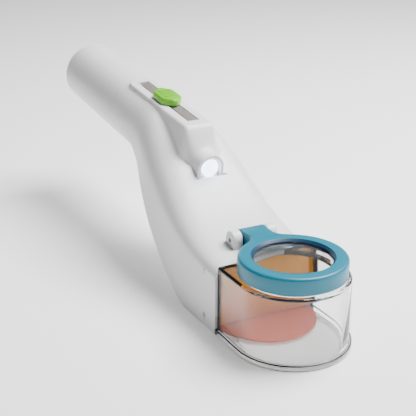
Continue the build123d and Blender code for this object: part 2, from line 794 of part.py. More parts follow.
# Blue ring lid with its tab and knuckle
with BuildPart() as lid_ring:
    with BuildSketch(chamber_plane.offset(lid_low)):
        Circle(lid_radius)
    extrude(amount=lid_high - lid_low)
    fillet(lid_ring.faces().sort_by(Axis.Z)[-1].edges(), lid_edge_radius)
    with BuildSketch(chamber_plane.offset(lid_tab_low)) as tab_outline:
        Circle(lid_radius - lid_edge_radius)
        with Locations((-hinge_back / 2, 0)):
            Rectangle(hinge_back, 2 * lid_tab_half_width)
        fillet(tab_outline.vertices().filter_by(lambda v: -hinge_back < v.X < 0).filter_by(
            lambda v: abs(abs(v.Y) - lid_tab_half_width) < lug_gap and v.X > -hinge_back + lug_gap), lid_tab_flare)
    extrude(amount=lid_high - lid_tab_low)
    add(rod(hinge_side, hinge_barrel_radius, -lid_tab_half_width, lid_tab_half_width))
    add(rod(chamber_plane, lid_skirt_inner, lid_low, lid_high - lid_plate), mode=Mode.SUBTRACT)
    add(rod(chamber_plane, lid_collar_outer, lid_high - lid_plate - lid_collar_depth, lid_high - lid_plate / 2))
    add(rod(chamber_plane, lid_collar_inner, lid_low, lid_high - lid_plate), mode=Mode.SUBTRACT)
    add(rod(chamber_plane, lid_window_radius, lid_low, lid_high + overrun), mode=Mode.SUBTRACT)
    chamfer(lid_ring.edges().filter_by(GeomType.CIRCLE).filter_by(
        lambda e: abs(e.radius - lid_window_radius) < lug_gap).sort_by(Axis.Z)[-1:], lid_window_bevel)
    add(rod(hinge_side, hinge_pin_radius, -body_half_width, body_half_width), mode=Mode.SUBTRACT)

# Magnifying lens, domed on top, and the ring that holds it
lens_top = lid_high - lid_plate
crown_radius = ((lid_window_radius - lens_gap) ** 2 + lens_crown ** 2) / (2 * lens_crown)
with BuildPart() as magnifier_lens:
    add(rod(chamber_plane, lens_radius, lens_top - lens_edge, lens_top))
    with BuildSketch(Plane(origin=(chamber_x, 0, 0), x_dir=(1, 0, 0), z_dir=(0, -1, 0))):
        with BuildLine():
            crown_half = lid_window_radius - lens_gap
            Line((0, lens_top - lens_edge / 2), (crown_half, lens_top - lens_edge / 2))
            Line((crown_half, lens_top - lens_edge / 2), (crown_half, lens_top))
            RadiusArc((crown_half, lens_top), (0, lens_top + lens_crown), -crown_radius)
            Line((0, lens_top + lens_crown), (0, lens_top - lens_edge / 2))
        make_face()
    revolve(axis=Axis((chamber_x, 0, 0), (0, 0, 1)))

with BuildPart() as lens_retainer:
    with BuildSketch(chamber_plane.offset(lens_top - lens_edge - retainer_thickness)):
        Circle(lid_collar_inner)
        Circle(retainer_inner, mode=Mode.SUBTRACT)
    extrude(amount=retainer_thickness)

# Pin of the lid's hinge
with BuildPart() as hinge_pin:
    add(rod(hinge_side, hinge_pin_radius - hinge_fit, -hinge_half_width - lug_width, hinge_half_width + lug_width))

# Trapdoor: a round-fronted tongue with two ears for the link
with BuildPart() as trapdoor:
    with BuildSketch(door_plane):
        with BuildLine():
            front_arc = CenterArc((0, 0), door_radius, -90, 180)
            Polyline(
                front_arc @ 1,
                (-door_shoulder_back, door_radius),
                (-door_tail_back, door_tail_half_width),
                (-door_tail_back, -door_tail_half_width),
                (-door_shoulder_back, -door_radius),
                front_arc @ 0,
            )
        make_face()
    extrude(amount=door_thickness)
    for side in (-1, 1):
        middle = door_arm_inner + door_arm_thickness / 2
        with BuildSketch(door_side.offset(side * middle)):
            with Locations((-door_arm_back, door_arm_height)):
                Circle(door_arm_radius)
            with BuildLine():
                Polyline(
                    (-door_arm_back - door_arm_radius, door_arm_height),
                    (-door_arm_back, door_thickness + 2 * door_arm_slant),
                    (-door_tail_back, 0),
                    (door_arm_foot - door_tail_back, 0),
                    (door_arm_foot - door_tail_back, door_thickness),
                    (-door_tail_back, door_thickness),
                    (-door_arm_back + door_arm_radius, door_arm_height),
                    (-door_arm_back - door_arm_radius, door_arm_height),
                )
            make_face()
            with Locations((-door_arm_back, door_arm_height)):
                Circle(link_pin_radius, mode=Mode.SUBTRACT)
        extrude(amount=door_arm_thickness / 2, both=True)

# Ribbed strip in the thumb slot
strip_low = pad_height - slot_depth
with BuildPart() as slot_strip:
    strip_across = (stem_slot_width - slot_half_width + strip_gap, slot_half_width - strip_gap)
    add(block(slide_plane, (strip_gap - slot_length / 2, slot_length / 2 - strip_gap), strip_across,
              strip_low, strip_low + strip_thickness))
    for rib in range(strip_rib_count):
        middle = strip_across[0] + (strip_across[1] - strip_across[0]) * (rib + 1) / (strip_rib_count + 1)
        add(block(slide_plane, (strip_gap - slot_length / 2, slot_length / 2 - strip_gap),
                  (middle - strip_rib_width / 2, middle + strip_rib_width / 2),
                  strip_low + strip_thickness / 2, strip_low + strip_thickness + strip_rib_height))

# Green thumb button
button_low = pad_height + button_gap
blade_side = stem_slot_width / 2 - slot_half_width
with BuildPart() as slider_button:
    with BuildSketch(slide_plane.offset(button_low)) as button_outline:
        with BuildLine():
            Polyline(
                (button_length / 2, 0),
                (button_length / 2 - button_nose, button_width / 2),
                (button_nose - button_length / 2, button_width / 2),
                (-button_length / 2, 0),
                (button_nose - button_length / 2, -button_width / 2),
                (button_length / 2 - button_nose, -button_width / 2),
                (button_length / 2, 0),
            )
        make_face()
        fillet(button_outline.vertices(), button_corner_radius)
    extrude(amount=button_height)
    chamfer(slider_button.faces().sort_by(Axis.Z)[-1].edges(), button_bevel)
    for rib in range(button_rib_count):
        place = (rib - (button_rib_count - 1) / 2) * button_rib_pitch
        add(block(slide_plane, (place - button_rib_width / 2, place + button_rib_width / 2),
                  (-button_rib_half, button_rib_half), button_low + button_height / 2,
                  button_low + button_height + button_rib_height))
    add(block(slide_plane, (-stem_length / 2 - stem_fit, stem_length / 2 + stem_fit),
              (blade_side - stem_thickness / 2 - stem_fit, blade_side + stem_thickness / 2 + stem_fit),
              button_low, button_low + stem_grip + stem_fit), mode=Mode.SUBTRACT)

# Carriage under the slot, with the blade that carries the button and two ears for the link
with BuildPart() as slider_carriage:
    add(block(slide_plane, (-carriage_length / 2, carriage_length / 2), (-carriage_half_width, carriage_half_width),
              carriage_top - carriage_thickness, carriage_top))
    add(block(slide_plane, (-stem_length / 2, stem_length / 2),
              (blade_side - stem_thickness / 2, blade_side + stem_thickness / 2),
              carriage_top - carriage_thickness / 2, button_low + stem_grip))
    for side in (-1, 1):
        middle = carriage_ear_inner + carriage_ear_thickness / 2
        with BuildSketch(slide_side.offset(side * middle)):
            with Locations((carriage_pivot_forward, carriage_pivot_height)):
                Circle(link_eye_radius)
            with BuildLine():
                Polyline(
                    (-carriage_ear_back, carriage_top - carriage_thickness / 2),
                    (carriage_ear_front, carriage_top - carriage_thickness / 2),
                    (carriage_pivot_forward + link_eye_radius, carriage_pivot_height),
                    (carriage_pivot_forward - link_eye_radius, carriage_pivot_height),
                    (-carriage_ear_back, carriage_top - carriage_thickness / 2),
                )
            make_face()
            with Locations((carriage_pivot_forward, carriage_pivot_height)):
                Circle(link_pin_radius, mode=Mode.SUBTRACT)
        extrude(amount=carriage_ear_thickness / 2, both=True)

# Push link between the carriage and the trapdoor, with hollowed sides
with BuildPart() as drive_link:
    with BuildSketch(link_side):
        for place in (0, link_length):
            with Locations((place, 0)):
                Circle(link_eye_radius)
        with Locations((link_length / 2, 0)):
            Rectangle(link_length, link_width)
    extrude(amount=link_thickness / 2, both=True)
    for side in (-1, 1):
        with BuildSketch(link_side.offset(side * link_thickness / 2)):
            with Locations((link_length / 2, 0)):
                Rectangle(link_length - 4 * link_eye_radius, link_width - 2 * link_flange)
        extrude(amount=-side * (link_thickness - link_web) / 2, mode=Mode.SUBTRACT)
    with BuildSketch(link_side):
        Circle(link_pin_radius)
    extrude(amount=link_width, both=True, mode=Mode.SUBTRACT)
    with BuildSketch(link_side):
        with Locations((link_length, 0)):
            Circle(link_pin_radius - link_fit + link_open_fit)
    extrude(amount=link_width, both=True, mode=Mode.SUBTRACT)

# Pins at the link's two ends
upper_pin_view = Plane(origin=pivot_high, x_dir=(1, 0, 0), z_dir=(0, -1, 0))
lower_pin_view = Plane(origin=pivot_low, x_dir=(1, 0, 0), z_dir=(0, -1, 0))
upper_pin_half = carriage_ear_inner + carriage_ear_thickness
lower_pin_half = door_arm_inner + door_arm_thickness
with BuildPart() as upper_link_pin:
    add(rod(upper_pin_view, link_pin_radius - link_fit, -upper_pin_half, upper_pin_half))
    add(rod(upper_pin_view, link_head_radius, upper_pin_half, upper_pin_half + link_pin_head))
with BuildPart() as lower_link_pin:
    add(rod(lower_pin_view, link_pin_radius - link_fit, -lower_pin_half, lower_pin_half))
    add(rod(lower_pin_view, link_head_radius, lower_pin_half, lower_pin_half + link_pin_head))

# Clear domed cover of the torch
lens_seat = -torch_niche_depth - torch_shoulder
torch_dome_radius = (torch_lens_radius ** 2 + torch_lens_dome ** 2) / (2 * torch_lens_dome)
torch_side = Plane(origin=torch_plane.origin, x_dir=torch_plane.z_dir, z_dir=(0, -1, 0))
torch_axis = Axis(torch_plane.origin, torch_plane.z_dir)
with BuildPart() as torch_lens:
    with BuildSketch(torch_side):
        with BuildLine():
            Polyline(
                (lens_seat + torch_lens_shank, torch_lens_radius),
                (lens_seat, torch_lens_radius),
                (lens_seat, torch_lens_flange),
                (lens_seat - torch_lens_flange_thickness, torch_lens_flange),
                (lens_seat - torch_lens_flange_thickness, 0),
                (lens_seat + torch_lens_shank + torch_lens_dome, 0),
            )
            RadiusArc((lens_seat + torch_lens_shank + torch_lens_dome, 0),
                      (lens_seat + torch_lens_shank, torch_lens_radius), -torch_dome_radius)
        make_face()
    revolve(axis=torch_axis)
    add(rod(torch_plane, torch_lens_room, lens_seat - torch_lens_flange_thickness, lens_seat + torch_lens_shank),
        mode=Mode.SUBTRACT)

# Bright cone round the lamp
reflector_front = lens_seat - torch_lens_flange_thickness
reflector_back = reflector_front - reflector_length
with BuildPart() as torch_reflector:
    with BuildSketch(torch_side):
        with BuildLine():
            Polyline(
                (reflector_front, torch_lens_flange),
                (reflector_front, torch_lens_flange - reflector_wall),
                (reflector_back, bulb_flange_radius + torch_bore_gap),
                (reflector_back, bulb_flange_radius + torch_bore_gap + reflector_wall),
                (reflector_front - reflector_rim, torch_lens_flange),
                (reflector_front, torch_lens_flange),
            )
        make_face()
    revolve(axis=torch_axis)

# Lamp with its flange and two leads
board_face = -torch_barrel_depth
bulb_back = board_face + lead_length
with BuildPart() as torch_bulb:
    add(rod(torch_plane, bulb_flange_radius, bulb_back, bulb_back + bulb_flange_thickness))
    add(rod(torch_plane, bulb_radius, bulb_back, bulb_back + bulb_length - bulb_radius))
    with BuildSketch(torch_side):
        with Locations((bulb_back + bulb_length - bulb_radius, 0)):
            Circle(bulb_radius)
        with Locations((bulb_back + bulb_length - bulb_radius, -bulb_radius)):
            Rectangle(2 * bulb_length, 2 * bulb_radius, mode=Mode.SUBTRACT)
    revolve(axis=torch_axis)
    with BuildSketch(torch_plane.offset(bulb_back)):
        with Locations((-lead_spacing / 2, 0), (lead_spacing / 2, 0)):
            Circle(lead_radius)
    extrude(amount=-lead_length - board_thickness - lead_tail)

# Small board behind the lamp
with BuildPart() as torch_board:
    add(block(torch_plane, (-board_size / 2, board_size / 2), (-board_size / 2, board_size / 2),
              board_face - board_thickness, board_face))
    with BuildSketch(torch_plane.offset(board_face)):
        with Locations((-lead_spacing / 2, 0), (lead_spacing / 2, 0)):
            Circle(lead_radius + lead_gap)
        with Locations((-peg_place, peg_place), (peg_place, -peg_place)):
            Circle(peg_radius + lead_gap)
    extrude(amount=-board_thickness, mode=Mode.SUBTRACT)

# Round cap that closes the grip
plug_radius = grip_inner - cap_plug_gap
plug_floor = tube_end - cap_floor
eye_angle_round = radians(eye_angle - 90)
eye_bar_plane = Plane(
    origin=grip_plane.from_local_coords(
        Vector(eye_reach * cos(eye_angle_round), eye_reach * sin(eye_angle_round), grip_length - eye_bar_sink)),
    x_dir=rearward,
    z_dir=Vector(*upward) * -sin(eye_angle_round) + Vector(0, cos(eye_angle_round), 0),
)
with BuildPart() as battery_cap:
    add(rod(grip_plane, grip_radius, tube_end + cap_seam, grip_length))
    fillet(battery_cap.faces().filter_by(GeomType.PLANE).sort_by(Axis.X)[0].edges(), cap_edge_radius)
    add(rod(grip_plane, plug_radius, tube_end - cap_plug_length, tube_end + cap_seam))
    add(rod(grip_plane, plug_radius - cap_plug_wall, tube_end - cap_plug_length, plug_floor), mode=Mode.SUBTRACT)
    with BuildSketch(grip_plane.offset(tube_end - cap_lug_inset - cap_lug_length / 2)):
        Circle(grip_inner + cap_lug_height)
        Circle(plug_radius - cap_plug_wall / 2, mode=Mode.SUBTRACT)
        with Locations((grip_radius / 2 + cap_lug_width / 2, 0), (-grip_radius / 2 - cap_lug_width / 2, 0)):
            Rectangle(grip_radius, 3 * grip_radius, mode=Mode.SUBTRACT)
    extrude(amount=cap_lug_length)
    with BuildSketch(grip_plane.offset(tube_end - seal_inset - seal_groove_half)):
        Circle(grip_radius)
        Circle(grip_inner - seal_gap - 2 * seal_radius - seal_gap, mode=Mode.SUBTRACT)
    extrude(amount=2 * seal_groove_half, mode=Mode.SUBTRACT)
    with BuildSketch(grip_plane.offset(grip_length)):
        with PolarLocations(eye_reach, 1, start_angle=eye_angle - 90):
            Rectangle(eye_width, eye_length)
    extrude(amount=-eye_depth, mode=Mode.SUBTRACT)
    add(rod(eye_bar_plane, eye_bar_radius, -eye_length / 2 - eye_bar_bite, eye_length / 2 + eye_bar_bite),
        mode=Mode.SUBTRACT)

# Rubber ring round the cap's plug
seal_middle = grip_inner - seal_gap - seal_radius
grip_side = Plane(origin=grip_plane.origin, x_dir=rearward, z_dir=(0, 1, 0))
with BuildPart() as cap_seal:
    with BuildSketch(grip_side):
        with Locations((tube_end - seal_inset, seal_middle)):
            Circle(seal_radius)
    revolve(axis=Axis(grip_plane.origin, rearward))

# Bar across the cord eye
with BuildPart() as cord_eye_bar:
    add(rod(eye_bar_plane, eye_bar_radius, -eye_length / 2 - eye_bar_bite, eye_length / 2 + eye_bar_bite))

# Holder for the two cells: half tubes between end plates, with a rib in the middle
cell_bore = cell_radius + holder_cell_gap
cell_aside = cell_bore + holder_rib / 2
holder_end = holder_start + holder_length
with BuildPart() as battery_holder:
    with BuildSketch(grip_plane.offset(holder_start)):
        for side in (-1, 1):
            with Locations((0, side * cell_aside)):
                Circle(cell_bore + holder_wall)
    extrude(amount=holder_length)
    for place in (holder_start, holder_start + (holder_length - holder_wall) / 2, holder_end - holder_wall):
        add(rod(grip_plane, holder_radius, place, place + holder_wall))
    for side in (-1, 1):
        with BuildSketch(grip_plane.offset(holder_start + holder_wall)):
            with Locations((0, side * cell_aside)):
                Circle(cell_bore)
        extrude(amount=holder_length - 2 * holder_wall, mode=Mode.SUBTRACT)
    add(block(grip_plane, (holder_open_height, grip_radius), (-grip_radius, grip_radius),
              holder_start + holder_wall, holder_end - holder_wall), mode=Mode.SUBTRACT)
    add(block(grip_plane, (cell_bore + holder_wall, grip_radius), (-grip_radius, grip_radius),
              holder_start, holder_end), mode=Mode.SUBTRACT)
    # ways through for the rear plate and the two wires
    add(block(grip_plane, (-contact_height / 2 - contact_gap, contact_height / 2 + contact_gap),
              (-cell_aside, cell_aside), holder_end - holder_wall - contact_thickness - contact_gap,
              holder_end - holder_wall), mode=Mode.SUBTRACT)
    with BuildSketch(grip_plane.offset(holder_start)):
        with Locations((0, -cell_aside), (0, cell_aside)):
            Circle(wire_radius + wire_gap)
    extrude(amount=holder_wall, mode=Mode.SUBTRACT)

# Two AA cells, lying head to tail
plate_front = holder_start + holder_wall
plate_back = holder_end - holder_wall
coil_length = plate_back - plate_front - 2 * contact_thickness - cell_length - cell_nub_length - contact_nose
with BuildPart() as battery_cells:
    for side in (-1, 1):
        if side > 0:
            start = plate_front + contact_thickness + contact_nose + cell_nub_length
            tip = start - cell_nub_length
        else:
            start = plate_front + contact_thickness + coil_length
            tip = start + cell_length
        with BuildSketch(grip_plane.offset(start)):
            with Locations((0, side * cell_aside)):
                Circle(cell_radius)
        extrude(amount=cell_length)
        with BuildSketch(grip_plane.offset(tip)):
            with Locations((0, side * cell_aside)):
                Circle(cell_nub_radius)
        extrude(amount=cell_nub_length)

# Spring-metal plates at the cells' ends
with BuildPart() as contact_plates:
    for side in (-1, 1):
        middle = side * cell_aside
        add(block(grip_plane, (-contact_height / 2, contact_height / 2), (middle - contact_width / 2,
                  middle + contact_width / 2), plate_front, plate_front + contact_thickness))
    add(block(grip_plane, (-contact_height / 2, contact_height / 2), (-cell_aside - contact_width / 2,
              cell_aside + contact_width / 2), plate_back - contact_thickness, plate_back))
    with BuildSketch(grip_plane.offset(plate_front)):
        with Locations((0, cell_aside)):
            Circle(contact_nose_radius)
    extrude(amount=contact_thickness + contact_nose)
    with BuildSketch(grip_plane.offset(plate_back)):
        with Locations((0, -cell_aside)):
            Circle(contact_nose_radius)
    extrude(amount=-contact_thickness - contact_nose)

# Coil springs at the cells' flat ends
with BuildPart() as contact_springs:
    for side, start in ((-1, plate_front + contact_thickness), (1, plate_back - contact_thickness - coil_length)):
        coil_foot = grip_plane.from_local_coords(Vector(0, side * cell_aside, start + coil_wire))
        with BuildLine():
            coil = Helix((coil_length - 2 * coil_wire) / coil_turns, coil_length - 2 * coil_wire, coil_radius,
                         center=coil_foot, direction=rearward)
        with BuildSketch(Plane(origin=coil @ 0, z_dir=coil % 0)):
            Circle(coil_wire)
        sweep(path=coil, is_frenet=True)

# Two wires from the front plates to the torch board
with BuildPart() as battery_leads:
    for side in (-1, 1):
        wire_start = grip_plane.from_local_coords(Vector(0, side * cell_aside, plate_front))
        wire_turn = grip_plane.from_local_coords(Vector(0, side * cell_aside, holder_start - lead_straight))
        wire_end = torch_plane.from_local_coords(
            Vector(side * board_size / 4, 0, board_face - board_thickness - lead_tail))
        wire_arrival = wire_end - torch_plane.z_dir * lead_straight
        with BuildLine():
            wire = FilletPolyline(
                wire_start,
                wire_turn,
                (root_x, side * lead_aside_rear, grip_root_height),
                (boss_places[-1][0], side * lead_aside_front, lead_front_height),
                wire_arrival,
                wire_end,
                radius=wire_bend,
            )
        with BuildSketch(Plane(origin=wire @ 0, z_dir=wire % 0)):
            Circle(wire_radius)
        sweep(path=wire)

os.makedirs("parts", exist_ok=True)
main_housing.part.label = "main_housing"
bottom_cover.part.label = "bottom_cover"
chamber.part.label = "chamber"
side_screws.part.label = "side_screws"
cover_screws.part.label = "cover_screws"
front_panel.part.label = "front_panel"
lid_ring.part.label = "lid_ring"
hinge_pin.part.label = "hinge_pin"
magnifier_lens.part.label = "magnifier_lens"
lens_retainer.part.label = "lens_retainer"
trapdoor.part.label = "trapdoor"
slot_strip.part.label = "slot_strip"
slider_button.part.label = "slider_button"
slider_carriage.part.label = "slider_carriage"
drive_link.part.label = "drive_link"
upper_link_pin.part.label = "upper_link_pin"
lower_link_pin.part.label = "lower_link_pin"
torch_lens.part.label = "torch_lens"
torch_reflector.part.label = "torch_reflector"
torch_bulb.part.label = "torch_bulb"
torch_board.part.label = "torch_board"
battery_cap.part.label = "battery_cap"
cap_seal.part.label = "cap_seal"
cord_eye_bar.part.label = "cord_eye_bar"
battery_holder.part.label = "battery_holder"
battery_cells.part.label = "battery_cells"
contact_plates.part.label = "contact_plates"
contact_springs.part.label = "contact_springs"
battery_leads.part.label = "battery_leads"
export_step(main_housing.part, "parts/main_housing.step")
export_step(bottom_cover.part, "parts/bottom_cover.step")
export_step(chamber.part, "parts/chamber.step")
export_step(side_screws.part, "parts/side_screws.step")
export_step(cover_screws.part, "parts/cover_screws.step")
export_step(front_panel.part, "parts/front_panel.step")
export_step(lid_ring.part, "parts/lid_ring.step")
export_step(hinge_pin.part, "parts/hinge_pin.step")
export_step(magnifier_lens.part, "parts/magnifier_lens.step")
export_step(lens_retainer.part, "parts/lens_retainer.step")
export_step(trapdoor.part, "parts/trapdoor.step")
export_step(slot_strip.part, "parts/slot_strip.step")
export_step(slider_button.part, "parts/slider_button.step")
export_step(slider_carriage.part, "parts/slider_carriage.step")
export_step(drive_link.part, "parts/drive_link.step")
export_step(upper_link_pin.part, "parts/upper_link_pin.step")
export_step(lower_link_pin.part, "parts/lower_link_pin.step")
export_step(torch_lens.part, "parts/torch_lens.step")
export_step(torch_reflector.part, "parts/torch_reflector.step")
export_step(torch_bulb.part, "parts/torch_bulb.step")
export_step(torch_board.part, "parts/torch_board.step")
export_step(battery_cap.part, "parts/battery_cap.step")
export_step(cap_seal.part, "parts/cap_seal.step")
export_step(cord_eye_bar.part, "parts/cord_eye_bar.step")
export_step(battery_holder.part, "parts/battery_holder.step")
export_step(battery_cells.part, "parts/battery_cells.step")
export_step(contact_plates.part, "parts/contact_plates.step")
export_step(contact_springs.part, "parts/contact_springs.step")
export_step(battery_leads.part, "parts/battery_leads.step")
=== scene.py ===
import json
from collections import namedtuple
from math import asin, atan2, cos, hypot, pi, radians, sin, sqrt, tan

import bmesh
import bpy
from bpy.props import FloatProperty, FloatVectorProperty, IntProperty, PointerProperty
from mathutils import Matrix, Vector


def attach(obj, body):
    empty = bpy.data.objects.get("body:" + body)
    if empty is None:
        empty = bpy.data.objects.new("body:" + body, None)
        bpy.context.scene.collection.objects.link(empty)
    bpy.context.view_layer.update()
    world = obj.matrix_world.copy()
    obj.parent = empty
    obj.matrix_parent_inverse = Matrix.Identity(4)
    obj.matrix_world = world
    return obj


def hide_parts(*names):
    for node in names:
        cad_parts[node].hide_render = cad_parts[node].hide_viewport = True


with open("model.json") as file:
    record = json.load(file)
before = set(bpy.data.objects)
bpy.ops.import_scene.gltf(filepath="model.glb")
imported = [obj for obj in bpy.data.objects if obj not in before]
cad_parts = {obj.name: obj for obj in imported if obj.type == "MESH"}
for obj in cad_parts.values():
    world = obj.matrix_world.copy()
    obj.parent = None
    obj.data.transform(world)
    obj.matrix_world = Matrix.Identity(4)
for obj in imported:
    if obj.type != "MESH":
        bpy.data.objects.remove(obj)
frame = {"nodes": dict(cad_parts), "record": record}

# Hand-held bug catcher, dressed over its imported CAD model. Metres, in the CAD's own frame:
# +X points from the grip to the chamber, +Y to the left, +Z up.

bl_info = {
    "name": "Bug catcher",
    "version": (1, 0, 0),
    "blender": (4, 5, 0),
    "location": "3D Viewport > Sidebar > Catcher",
    "description": "Builds a hand-held bug catcher with a see-through chamber and a sliding trapdoor",
    "category": "Add Mesh",
}

UP = Vector((0, 0, 1))
LEFT = Vector((0, 1, 0))
ON_EDGE = Matrix.Rotation(radians(90), 4, "X")      # stands a flat outline up along the body
MILLIMETRE = 0.001
MERGE = 0.005 * MILLIMETRE      # vertices closer than this are one
TINY = 0.001 * MILLIMETRE       # less than any size or share that matters

# Sections along the body from the front to the grip, as the CAD has them: way back, extra width, rise
# of the top, height of the straight side, corner radius, rise of the floor, squareness of the top.
BODY_SECTIONS = (
    (0.000, 1.000, 0.000, 0.820, 0.026, -0.030, 8.0),
    (0.132, 1.000, 0.034, 0.800, 0.029, -0.030, 7.0),
    (0.248, 1.000, 0.122, 0.770, 0.038, -0.030, 6.0),
    (0.356, 0.965, 0.247, 0.740, 0.145, 0.015, 5.5),
    (0.465, 0.912, 0.428, 0.677, 0.280, 0.115, 5.0),
    (0.566, 0.825, 0.603, 0.645, 0.408, 0.241, 4.4),
    (0.667, 0.667, 0.760, 0.603, 0.507, 0.389, 3.7),
    (0.769, 0.421, 0.886, 0.565, 0.645, 0.570, 2.9),
    (0.884, 0.088, 0.970, 0.573, 0.880, 0.815, 2.15),
    (1.000, 0.0079, 1.0009, 0.500, 1.000, 0.9983, 2.0),
)

# The grip past the last section, as a further row, so that the body's curves run into it smoothly
GRIP_SECTION = (1.116, 0.0079, 1.0285, 0.500, 1.000, 1.0268, 2.0)

# How much of the seam's height above the floor is left at each of the body's sections
SEAM_SHARES = (1, 1, 1, 1, 1, 1, 0.95, 0.7, 0.35)

# Distances from the middle of the points over the roof where there is no pad or ridge
CREST_REST = (0.015, 0.0135, 0.013, 0.0125, 0.012, 0.0115, 0.011, 0.01, 0.0096, 0.0092, 0.0088, 0.0083,
              0.0077, 0.0038, 0.0019, 0.0)

# Distances between the loops of the body's skin: along the body, round the hood, at the hood's lip and
# along the grip
BODY_STEP = 3 * MILLIMETRE
HOOD_STEP = 1.5 * MILLIMETRE
LIP_STEP = 0.5 * MILLIMETRE
GRIP_STEP = 4 * MILLIMETRE

# Points across half of the skin's loops: under the seam, from the seam to the crest, on the crest up to
# where its foot has turned, and up to its top edge. They gather where a loop turns, by this length per
# radian, and the roof is sampled this often to place them.
UNDER_POINTS = 14
UPPER_POINTS = 18
FOOT_POINTS = 7
EDGE_POINTS = 13
TURN_WEIGHT = 6 * MILLIMETRE
ROOF_SAMPLES = 160

# How far ahead of the first section its values run on, as a share of the way back
FRONT_LEAD = 0.135
LEAST_CORNER = 0.4 * MILLIMETRE

# The pad and the ridge ahead of it: how soon the ridge drops, the shares of the rise that the roundings of
# the top edge and the foot may take, how much of the foot's rounding the hood takes away, and the width,
# in widths of the slot, below which there is no room for the slot
RIDGE_HASTE = 1.6
EDGE_SHARE = 0.6
FOOT_SHARE = 0.8
HOOD_SHARE = 0.9
NARROW = 1.3

# The lamps: name, place, what each looks at, size and power
LAMPS = (
    ("key", (0.1, 0.45, 0.9), (0.0, 0.0, 0.05), 0.6, 30.0),
    ("fill", (0.9, 0.5, 0.5), (0.1, 0.0, 0.03), 0.6, 1.5),
)

# One section across the body: half width, top, top of the straight side, corner radius, floor and
# squareness of the top
Section = namedtuple("Section", "half top side_top corner low bend")


def linear(code):
    """Linear red, green and blue of an sRGB hex colour."""
    values = [int(code[place:place + 2], 16) / 255 for place in (0, 2, 4)]
    return [value / 12.92 if value <= 0.04045 else ((value + 0.055) / 1.055) ** 2.4 for value in values]


def smooth(way):
    """Eases a share from 0 to 1 in and out."""
    return way * way * (3 - 2 * way)


def length(name, description, value):
    """Property for a length in metres."""
    return FloatProperty(name=name, description=description, default=value, unit="LENGTH", precision=5)


def angle(name, description, degrees):
    """Property for an angle, given in degrees."""
    return FloatProperty(name=name, description=description, default=radians(degrees), subtype="ANGLE")


def colour(name, description, code):
    """Property for a colour, given as sRGB hex."""
    return FloatVectorProperty(name=name, description=description, default=linear(code), subtype="COLOR",
                               size=3, min=0, max=1)


class CatcherColours(bpy.types.PropertyGroup):
    """Colours of the product's materials."""

    shell: colour("Shell", "White moulded shell", "EDEDEE")
    lid: colour("Lid", "Blue lid ring", "00748C")
    button: colour("Button", "Green thumb button", "6CBE14")
    door: colour("Door", "Orange trapdoor", "CE4600")
    panel: colour("Panel", "Amber tinted panel at its foot", "F07800")
    # painted light: the panel's colour at its top is lighter and yellower, for the light from above that
    # falls on its top
    panel_top: colour("Panel top", "Amber tinted panel at its top", "FFA800")
    strip: colour("Strip", "Grey strip in the slot", "8E8A84")
    rubber: colour("Rubber", "Seal", "1B1B1C")
    board: colour("Board", "Circuit board", "2F6B45")
    jacket: colour("Cell jacket", "Plastic sleeve round a cell", "3B5F8C")
    wire: colour("Wire", "Wire jacket", "B3262B")


# --- materials -------------------------------------------------------------------------------

def add_node(tree, kind, inputs=None, **settings):
    """Shader node with its settings and inputs; an input is a value or a socket to link from."""
    node = tree.nodes.new(kind)
    for name, value in settings.items():
        setattr(node, name, value)
    for name, value in (inputs or {}).items():
        if isinstance(value, bpy.types.NodeSocket):
            tree.links.new(value, node.inputs[name])
        else:
            node.inputs[name].default_value = value
    return node


def new_material(name):
    """Material without nodes, its tree, and the Object coordinates that its patterns read."""
    material = bpy.data.materials.new(name)
    material.use_nodes = True
    tree = material.node_tree
    tree.nodes.clear()
    place = add_node(tree, "ShaderNodeTexCoord").outputs["Object"]
    return material, tree, place


def shade(tree, shader):
    """Joins a shader to the material's output."""
    add_node(tree, "ShaderNodeOutputMaterial", {"Surface": shader.outputs["BSDF"]})


def rgba(colour_value, factor=1.0):
    """Colour with its alpha, made darker or lighter by a factor."""
    return [min(channel * factor, 1) for channel in colour_value] + [1]


def moulded(name, base, roughness, grain=0.35, relief=0.02, soft=0.0, coat=0.0):
    """Opaque injection-moulded plastic: a fine spark-eroded grain breaks up the highlights, and a slow
    unevenness of colour and gloss keeps a large face from looking flat."""
    material, tree, place = new_material(name)
    fine = add_node(tree, "ShaderNodeTexNoise", {
        "Vector": place, "Scale": 1 / (grain * MILLIMETRE), "Detail": 2.0, "Roughness": 0.6})
    slow = add_node(tree, "ShaderNodeTexNoise", {
        "Vector": place, "Scale": 1 / (28 * MILLIMETRE), "Detail": 3.0, "Roughness": 0.5})
    tone = add_node(tree, "ShaderNodeMix", {
        "Factor": slow.outputs["Fac"], "A": rgba(base, 0.965), "B": rgba(base, 1.02)}, data_type="RGBA")
    gloss = add_node(tree, "ShaderNodeMapRange", {
        "Value": slow.outputs["Fac"], "To Min": roughness - 0.04, "To Max": roughness + 0.05})
    bump = add_node(tree, "ShaderNodeBump", {
        "Height": fine.outputs["Fac"], "Strength": 0.25, "Distance": relief * MILLIMETRE})
    shader = add_node(tree, "ShaderNodeBsdfPrincipled", {
        "Base Color": tone.outputs["Result"], "Roughness": gloss.outputs["Result"],
        "Normal": bump.outputs["Normal"], "IOR": 1.5, "Subsurface Weight": soft,
        "Subsurface Radius": (1.0, 0.9, 0.8), "Subsurface Scale": 0.8 * MILLIMETRE,
        "Coat Weight": coat, "Coat Roughness": 0.12})
    shade(tree, shader)
    return material


